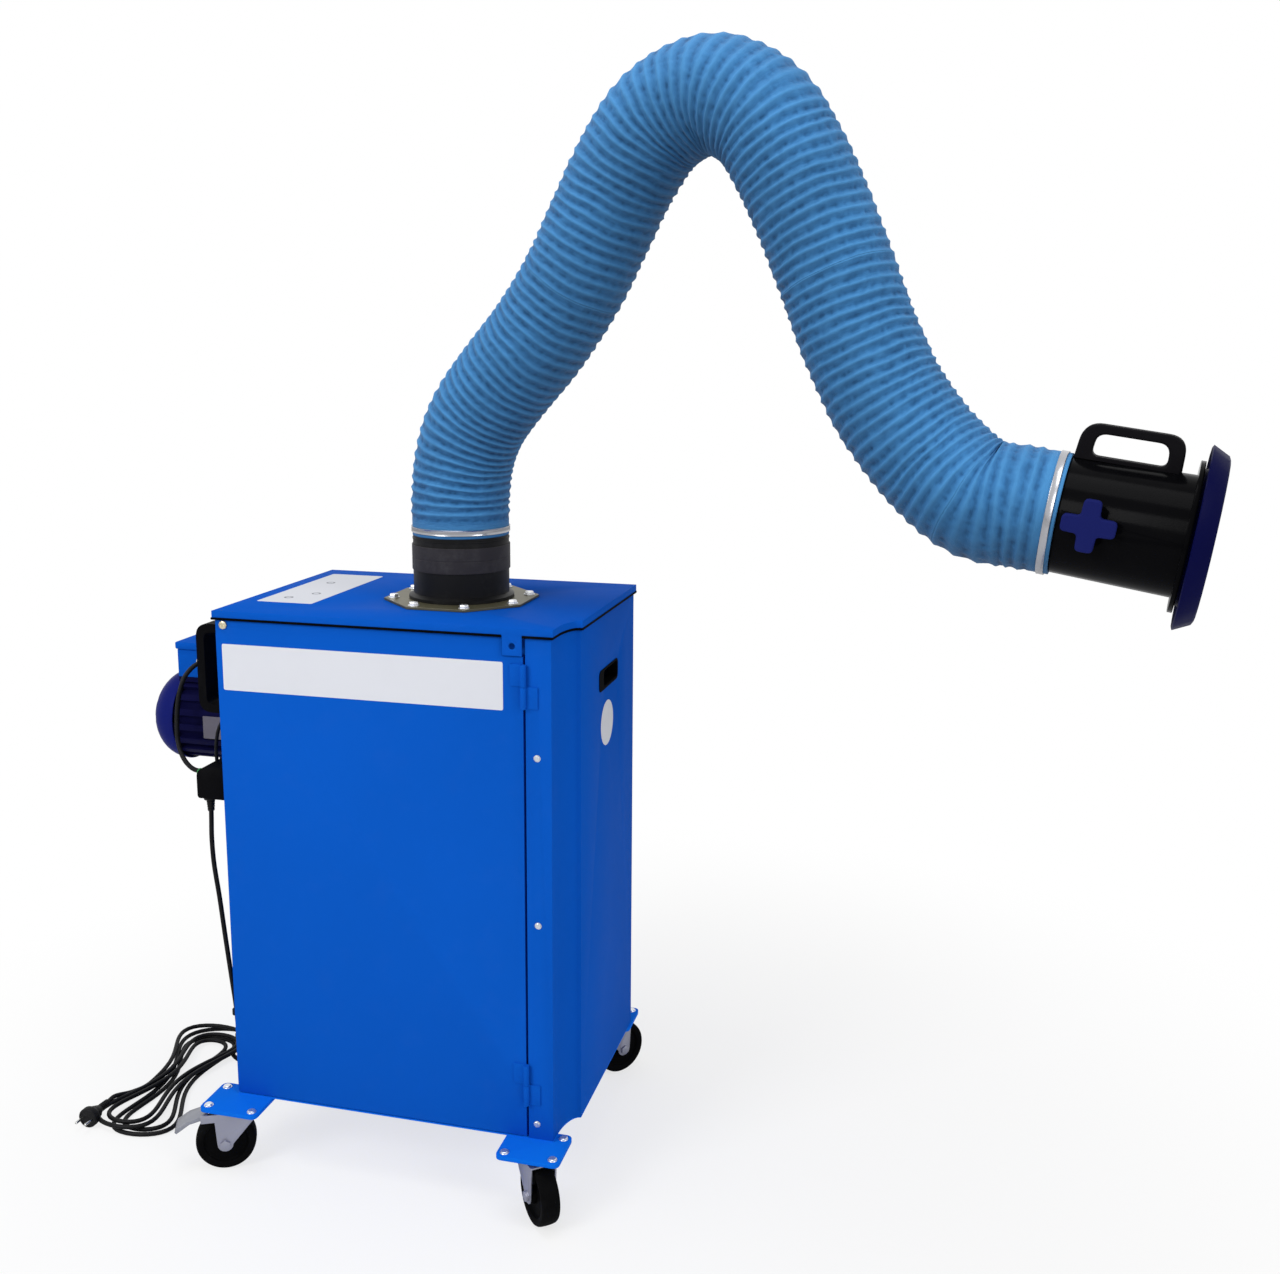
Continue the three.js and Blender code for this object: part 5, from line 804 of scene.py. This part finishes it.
# Switch and handle: a moulded black box with a rounded brow, a green start and a red stop button, and
# beside it a moulded bow to push the unit by. Both are screwed to the left side.
switch_black = finish("switch_plastic", (14, 14, 16), roughness=0.46, grain=600, dust=0.006, depth=0.2,
                      shine=0.05)
dress("switch_box", switch_black, edge=1.6)
dress("start_button", finish("start_green", (38, 132, 62), roughness=0.35), edge=0.5)
dress("stop_button", finish("stop_red", (178, 36, 30), roughness=0.35), edge=0.5)
bow_outer = softened([(-293.2, 783), (-343.3, 783), (-343.3, 932), (-293.2, 932)], [0.5, 24, 24, 0.5])
bow_inner = softened([(-293.2, 797), (-329.3, 797), (-329.3, 918), (-293.2, 918)], [0.5, 12, 12, 0.5])
bow_corners = [at(p[0], y, p[1]) for y in (-187, -150) for outline in (bow_outer, bow_inner) for p in outline]
n = len(bow_outer)
bow_faces = [(0, n, 3 * n, 2 * n), (n - 1, 3 * n - 1, 4 * n - 1, 2 * n - 1)]
for k in range(n - 1):
    bow_faces += [(k, k + 1, n + k + 1, n + k), (2 * n + k, 3 * n + k, 3 * n + k + 1, 2 * n + k + 1),
                  (k, 2 * n + k, 2 * n + k + 1, k + 1), (n + k, n + k + 1, 3 * n + k + 1, 3 * n + k)]
bow = new_piece("bow_grip", mesh_of("bow_grip", bow_corners, bow_faces, 35), switch_black, "cabinet")
round_edges(bow, 4, 50, slices=3)
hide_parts("bow_handle")

# Inlet: an eight-sided plate of passivated steel, held on the lid by eight bolts, with the black collar
# in its middle and the dark grey sleeve that turns on it.
olive = finish("olive_passivated", (92, 88, 66), roughness=0.42, metal=0.6, blotch=0.26, grain=160, dust=0.05,
               depth=0.15)
collar_black = finish("collar_plastic", (14, 14, 15), roughness=0.42, grain=500, dust=0.02, depth=0.18,
                      shine=0.14)
ring_grey = finish("sleeve_ring", (44, 42, 46), roughness=0.5, blotch=0.05, grain=500, dust=0.04, depth=0.18,
                   shine=0.14)
inlet_x = 48
inlet_place = cabinet_place @ moved(inlet_x, 0, 0)
flange_top, bolt_circle = 964.3, 113


def eight_sided(radius, along, angle):
    """Only the plate's outer edge is cut to eight flats."""
    if radius < 100:
        return radius
    return radius / cos((angle + pi / 8) % (pi / 4) - pi / 8)


flange_outline = [(76.4, 960.4), (119.2, 960.4), (119.6, 960.8), (119.6, 963.9), (119.2, flange_top),
                  (76.4, flange_top)]
flange = turned("flange_plate", flange_outline, inlet_place, olive, closed=True, wobble=eight_sided)
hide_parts("inlet_flange")
corner_angles = [radians(45 * i + 22.5) for i in range(8)]
bolt_places = [(inlet_x + bolt_circle * cos(a), bolt_circle * sin(a), flange_top) for a in corner_angles]
flange_bolts = bolt_heads("flange_bolts", bolt_places, 7.8, 5.8, (0, 0, 1), bolt_zinc)
dress("inlet_collar", collar_black)
ring_outline = [(73.6, 987), (76, 987), (76, 1013), (80.9, 1013), (81.5, 1013.6), (81.5, 1032.6),
                (81.1, 1033), (81.1, 1034.2), (81.5, 1034.6), (81.5, 1054.3), (80.9, 1054.9), (73.6, 1054.9)]
sleeve_foot = turned("sleeve_ring", ring_outline, inlet_place, ring_grey, "arm_base", closed=True)
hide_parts("swivel_sleeve")
neck_outline = [(73.6, 1055), (79.6, 1055), (79.6, 1063), (80.4, 1063.6), (80.4, 1066), (79.4, 1066.6),
                (79.4, 1069.9), (73.6, 1069.9)]
sleeve_neck = turned("sleeve_neck", neck_outline, inlet_place, collar_black, "arm_base", closed=True)

# Arm: sprung links of extruded aluminium that carry the hood from inside the hose, on galvanised brackets
# at the shoulder and at the hood, with the hood's damper flap.
arm_alloy = finish("arm_alloy", (176, 178, 184), metal=0.9, blotch=0.06, grain=200)
dress(["lower_link", "upper_link"], arm_alloy, edge=1.0)
dress(["shoulder_bracket", "gimbal_block", "hood_bracket", "damper_flap"], galvanised, edge=0.6)

# Extraction hose: coated blue fabric on a spring wire, drawn over the sleeve and the hood's neck. Each
# turn of the wire stands as a rib, and the fabric sags and creases between.
arm_place = Matrix.Translation(at(inlet_x, 0, 0)) @ spun(-16, "Z") @ Matrix.Scale(0.001, 4)
shoulder_z = 1200.0
lower_angle, lower_length = radians(49.86), 689.0
upper_angle, upper_length = radians(-50.22), 719.0
hood_tilt, hood_swing = radians(-8), radians(8)
swing_offset = 24
elbow = Vector((lower_length * cos(lower_angle), shoulder_z + lower_length * sin(lower_angle)))
hood_pivot = elbow + upper_length * Vector((cos(upper_angle), sin(upper_angle)))
tip_way = Vector((cos(hood_tilt), sin(hood_tilt)))


def in_plane(spots):
    """A smooth centre line through spots in the arm's plane, as close points with their walked length."""
    line = [Vector((p.x, p.z)) for p in through([(s, 0, z) for s, z in spots])]
    walked = [0.0]
    for a, b in zip(line, line[1:]):
        walked.append(walked[-1] + (b - a).length)
    return line, walked


over_shoulder, over_elbow = (222, 1472), (652, 1473)
hose_spots = [(0, 1070.2), (0, 1100), (1, 1137), (13, 1206), (40, 1262), (92, 1322), (160, 1392),
              over_shoulder, (272, 1558), (318, 1636), (376, 1702), (456, 1727), (530, 1694), (574, 1634),
              (612, 1562), over_elbow, (690, 1384), (738, 1298), (hood_pivot.x - 100, hood_pivot.y + 48)]
hose_spots += [hood_pivot + step * tip_way for step in (-40, 14, 66.7)]
hose_line, hose_walk = in_plane(hose_spots)
hose_length = hose_walk[-1]


def flat_point(along):
    """The hose's centre at that length, before the hood's swing turns it out of the arm's plane."""
    along = min(hose_length, max(0, along))
    low, high = 0, len(hose_walk) - 1
    while high - low > 1:
        middle = (low + high) // 2
        low, high = (middle, high) if hose_walk[middle] <= along else (low, middle)
    return hose_line[low].lerp(hose_line[high], (along - hose_walk[low]) / (hose_walk[high] - hose_walk[low]))


def nearest_along(spot):
    """How far along the hose its centre line passes nearest to a spot in the arm's plane."""
    return hose_walk[min(range(len(hose_line)), key=lambda i: (hose_line[i] - Vector(spot)).length)]


swing_axis = Vector((-sin(hood_tilt), 0, cos(hood_tilt)))
swing_centre = Vector((hood_pivot.x + swing_offset * tip_way.x, 0, hood_pivot.y + swing_offset * tip_way.y))
swing_before, swing_done = 201, 67 / 3


def hose_point(along):
    """The hose's centre at that length, in the arm's own axes."""
    flat = flat_point(along)
    share = smoothstep(along, hose_length - swing_before, hose_length - swing_done)
    turn = Matrix.Rotation(hood_swing * share, 3, swing_axis)
    return turn @ (Vector((flat.x, 0, flat.y)) - swing_centre) + swing_centre


def hose_way(along):
    """The way the hose runs there."""
    a, b = max(0, along - 6), min(hose_length, along + 6)
    return (hose_point(b) - hose_point(a)).normalized()


rib_pitch = 16.2
hose_around = 120
rib_rings = 8
hose_bore, hose_bed, hose_crest = 74.0, 80.0, 82.5
cuff = 22.0
ribs_start, ribs_end = cuff, hose_length - cuff
rib_count = round((ribs_end - ribs_start) / rib_pitch)
rib_step = (ribs_end - ribs_start) / rib_count
wire_radius, mean_sag, sag_spread = 82.2, 3.0, 1.5
pucker_depth, wrinkle_depth = 1.3, 0.8
tilt_spread, tilt_round = 3.4, 1.3


def hose_radius(along, angle):
    """Radius of the fabric and how high on its rib it lies: 1 on the wire, 0 in the fold."""
    if along <= ribs_start or along >= ribs_end:
        return hose_bed, 0.75
    phase = (along - ribs_start) / rib_step
    here = phase % 1.0
    rib = int(phase)
    ridge = (2 * here - 1) ** 2
    wander = noise.noise(Vector((cos(angle) * 2.4, sin(angle) * 2.4, rib * 0.61)))
    sag = mean_sag + sag_spread * wander
    around = Vector((cos(angle), sin(angle), 0))
    pucker = noise.noise(Vector((around.x * 9 + along * 0.03, around.y * 9, along * 0.11)))
    wrinkle = noise.noise(Vector((around.x * 21, around.y * 21 + along * 0.05, along * 0.2)))
    height = ridge ** 0.8
    crumple = pucker_depth * pucker + wrinkle_depth * wrinkle
    radius = wire_radius - sag * (1 - height) + crumple * (1 - 0.8 * height)
    height = min(1.0, max(0.0, height * 0.75 + 0.2 + 0.2 * pucker + 0.16 * wrinkle))
    grown = smoothstep(along, ribs_start, ribs_start + 9) * smoothstep(ribs_end - along, 0, 9)
    return hose_bed + (min(radius, hose_crest) - hose_bed) * grown, height


def rib_tilt(along, angle):
    """The wire's turns lie a little askew and closer on one side than the other."""
    slant = tilt_spread * noise.noise(Vector((along * 0.013, sin(angle) * 1.6, cos(angle) * 1.6)))
    fade = smoothstep(along, 40, 90) * smoothstep(hose_length - along, 40, 90)
    return (slant + tilt_round * sin(angle + along * 0.004)) * fade


def hose_part(name, start, end, material):
    """One stretch of the hose, ribbed outside and plain inside, with its fabric's own coordinates."""
    ring_count = round((end - start) / (rib_step / rib_rings))
    rings = [start + (end - start) * i / ring_count for i in range(ring_count + 1)]
    corners, faces, heights, wraps = [], [], [], []
    inner = rings[::rib_rings * 2]
    if inner[-1] != rings[-1]:
        inner.append(rings[-1])
    for outside, places in ((True, rings), (False, inner[::-1])):
        for along in places:
            centre, way = hose_point(along), hose_way(along)
            side = (Vector((0, 1, 0)) - way * way.y).normalized()
            up = way.cross(side)
            for k in range(hose_around):
                angle = 2 * pi * k / hose_around
                radius, height = hose_radius(along, angle) if outside else (hose_bore, 0.0)
                lean = rib_tilt(along, angle) if outside else 0.0
                corners.append(arm_place @ (centre + side * radius * cos(angle)
                                            + up * radius * sin(angle) + way * lean))
                heights.append(height)
                wraps.append((angle * hose_bed / 1000, along / 1000))
    total = len(rings) + len(inner)
    for i in range(total):
        j = (i + 1) % total
        for k in range(hose_around):
            m = (k + 1) % hose_around
            faces.append((i * hose_around + k, i * hose_around + m, j * hose_around + m, j * hose_around + k))
    mesh = mesh_of(name, corners, faces, smooth=0)
    ridge = mesh.attributes.new("rib_height", "FLOAT", "POINT")
    ridge.data.foreach_set("value", heights)
    wrap = mesh.uv_layers.new(name="wrap")
    for loop in mesh.loops:
        wrap.data[loop.index].uv = wraps[loop.vertex_index]
    half_way = 0.25
    for face in mesh.polygons:
        spread = [wrap.data[i].uv[0] for i in face.loop_indices]
        if max(spread) - min(spread) > half_way:
            for i in face.loop_indices:
                if wrap.data[i].uv[0] < half_way:
                    wrap.data[i].uv[0] += 2 * pi * hose_bed / 1000
    mesh.update()
    return new_piece(name, mesh, material)


# Hose colour: a blue with random patches, plus painted shade: darker in the folds and creases, lighter on the
# ribs, darker on faces that look down and lighter on those that look up.
hose_fabric, tree, shader = shader_nodes("hose_fabric")
wrap_uv = wired(tree, "UVMap", uv_map="wrap")
rib_at = wired(tree, "Attribute", attribute_name="rib_height")
on_body = wired(tree, "TexCoord")
folds = wired(tree, "Mapping", [("Vector", wrap_uv.outputs[0])], in_Scale=(60, 260, 1),
              in_Rotation=(0, 0, 0.5))
crease = wired(tree, "TexNoise", [("Vector", folds.outputs[0])], in_Scale=1.0, in_Detail=3.0)
patch = wired(tree, "TexNoise", [("Vector", on_body.outputs["Object"])], in_Scale=7.0, in_Detail=4.0)
# Painted shade in the folds: the ramp runs from dark, low on a rib and in the crease noise, to light on the
# wire.
lit = maths(tree, "MULTIPLY_ADD", crease.outputs["Fac"], 0.22, rib_at.outputs["Fac"])
tone = wired(tree, "ValToRGB", [("Fac", lit)])
tone.color_ramp.elements[0].position = 0.1
tone.color_ramp.elements[0].color = srgb(24, 72, 116)
tone.color_ramp.elements[1].position = 0.92
tone.color_ramp.elements[1].color = srgb(66, 130, 184)
mid_tone = tone.color_ramp.elements.new(0.42)
mid_tone.color = srgb(50, 110, 163)
patch_value = wired(tree, "MapRange", [("Value", patch.outputs["Fac"])], in_From_Min=0.3, in_From_Max=0.7,
                    in_To_Min=0.9, in_To_Max=1.08)
# Painted shade by facing: downward faces darker, upward faces lighter, multiplied with the random patches.
facing = wired(tree, "NewGeometry")
upward = wired(tree, "SeparateXYZ", [(0, facing.outputs["Normal"])])
painted_facing_shade = wired(tree, "MapRange", [("Value", upward.outputs["Z"])], in_From_Min=-0.75, in_From_Max=0.45,
             in_To_Min=0.5, in_To_Max=1.16)
patches_and_facing_shade = maths(tree, "MULTIPLY", patch_value.outputs[0], painted_facing_shade.outputs[0])
patched_and_shaded = wired(tree, "HueSaturation", [("Color", tone.outputs[0]), ("Value", patches_and_facing_shade)])
thread = wired(tree, "Mapping", [("Vector", wrap_uv.outputs[0])], in_Scale=(850, 850, 1))
warp = wired(tree, "TexWave", [("Vector", thread.outputs[0])], bands_direction="X", in_Scale=0.5)
weft = wired(tree, "TexWave", [("Vector", thread.outputs[0])], bands_direction="Y", in_Scale=0.5)
weave = maths(tree, "MULTIPLY", warp.outputs["Fac"], weft.outputs["Fac"])
creased = wired(tree, "Bump", [("Height", crease.outputs["Fac"])], in_Distance=0.0022, in_Strength=0.75)
woven = wired(tree, "Bump", [("Height", weave), ("Normal", creased.outputs[0])],
              in_Distance=0.00025, in_Strength=0.35)
tree.links.new(patched_and_shaded.outputs[0], shader.inputs["Base Color"])
tree.links.new(woven.outputs[0], shader.inputs["Normal"])
shader.inputs["Roughness"].default_value = 0.66
shader.inputs["Specular IOR Level"].default_value = 0.15
shader.inputs["Sheen Weight"].default_value = 0.06
shader.inputs["Sheen Roughness"].default_value = 0.5


def on_rib(along):
    """The length of the rib nearest to that length, so that a stretch ends on its wire."""
    return ribs_start + rib_step * round((along - ribs_start) / rib_step)


# A stretch: its start and end, its two bodies, how far inside its ends the bend lies, and what it stands for.
gimbal_reach, straight_end = 112, 202
first_split, second_split = on_rib(nearest_along(over_shoulder)), on_rib(nearest_along(over_elbow))
third_split = on_rib(hose_length - gimbal_reach)
stretches = (("hose_over_shoulder", 0, first_split, "arm_base", "arm_lower", 62, 34, ["hose_shoulder"]),
             ("hose_over_elbow", first_split, second_split, "arm_lower", "arm_upper", 92, 92, ["hose_elbow"]),
             ("hose_to_gimbal", second_split, third_split, "arm_upper", "gimbal",
              hose_length - straight_end - second_split, 2, []),
             ("hose_to_hood", third_split, hose_length, "gimbal", "hood", 4, 26, ["hose_tip"]))
for name, start, end, body_a, body_b, lead_in, lead_out, stood_for in stretches:
    part = hose_part(name, start, end, hose_fabric)
    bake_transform(part)
    if stood_for:
        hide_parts(*stood_for)

# Hose clamps: a thin steel band round each end of the hose, rolled at its edges, with a worm-drive
# housing and its screw on the far side.
hood_offset = 43
hood_place = arm_place @ moved(hood_pivot.x, 0, hood_pivot.y) @ Matrix.Rotation(-hood_tilt, 4, "Y") \
    @ moved(swing_offset, 0, 0) @ Matrix.Rotation(hood_swing, 4, "Z") @ moved(hood_offset, 0, 0)
clamp_steel = finish("clamp_steel", (168, 169, 174), roughness=0.26, metal=1.0, blotch=0.35, grain=120,
                     depth=0.1)
lower_band_z = 1079.9
band_outline = [(80.3, -4.7), (81.6, -4.7), (82.1, -4.2), (81.7, -3.5)]
band_outline += [(r, -x) for r, x in reversed(band_outline)]
screw_outline = [(0, 6), (2.6, 6), (2.6, 9), (4.2, 9.4), (4.2, 13), (3.6, 13.6), (0, 13.6)]
for name, place, body in (("lower", inlet_place @ moved(0, 0, lower_band_z), "arm_base"),
                          ("upper", hood_place @ moved(-10, 0, 0) @ spun(90, "Y"), "hood")):
    band = turned(f"hose_band_{name}", band_outline, place, clamp_steel, body, segments=128, closed=True)
    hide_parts(f"hose_clamp_{name}")
    on_back = place @ spun(100, "Z")
    housing_place = on_back @ moved(81.9, 0, 0) @ spun(90, "Y") @ spun(90, "Z")
    housing = flat_plate(f"band_housing_{name}", rounded_outline(-7.5, -5.4, 7.5, 5.4, 1.5), 6.2,
                         housing_place, clamp_steel, body, edge=0.8)
    screw_place = on_back @ moved(85.2, 0, 0) @ spun(90, "X")
    screw = turned(f"band_screw_{name}", screw_outline, screw_place, clamp_steel, body, segments=24)

# Hood: a glossy black moulded tube with its grip and brim, a navy rim turned inside out, and the cross
# knob of its damper.
hood_black = finish("hood_plastic", (8, 8, 10), roughness=0.15, blotch=0.03, grain=300, dust=0.002,
                    depth=0.05, shine=0.1)
handle_black = finish("handle_plastic", (20, 19, 22), roughness=0.48, grain=700, dust=0.006, depth=0.2,
                      shine=0.08)
rim_navy = finish("rim_plastic", (12, 14, 60), roughness=0.34, grain=400, dust=0.003, depth=0.08, shine=0.05)
knob_navy = finish("knob_plastic", (26, 32, 92), roughness=0.44, blotch=0.03, grain=600, dust=0.003,
                   depth=0.15, shine=0.06)
dress("hood_tube", hood_black, edge=0.6)
dress("hood_rim", rim_navy)
grip_outer = softened([(1, 75.6), (132, 75.6), (131, 123), (6, 123)], [2, 2, 27, 27], steps=8)
grip_inner = softened([(21, 82), (113, 82), (112, 111), (24, 111)], [9, 9, 15, 15], steps=8)
grip_width = 25
grip_place = hood_place @ moved(0, grip_width / 2, 0) @ spun(90, "X")
grip = flat_ring("hood_grip", grip_outer, grip_inner, grip_width, grip_place, handle_black, edge=4.5,
                 body="hood", slices=4)
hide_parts("hood_handle")
cross_reach, cross_half = 33, 11.6
cross = []
for k in range(4):
    turn = Matrix.Rotation(radians(90 * k), 2)
    cross += [turn @ Vector(p) for p in ((cross_half, -cross_half), (cross_reach, -cross_half * 0.92),
                                        (cross_reach, cross_half * 0.92))]
knob_place = hood_place @ moved(40, -79.8, 4) @ spun(90, "X")
knob = flat_plate("damper_cross", softened(cross, [5, 6.5, 6.5] * 4), 13.6, knob_place, knob_navy, "damper",
                  edge=2.4, slices=4, steeper=50)
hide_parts("damper_knob")
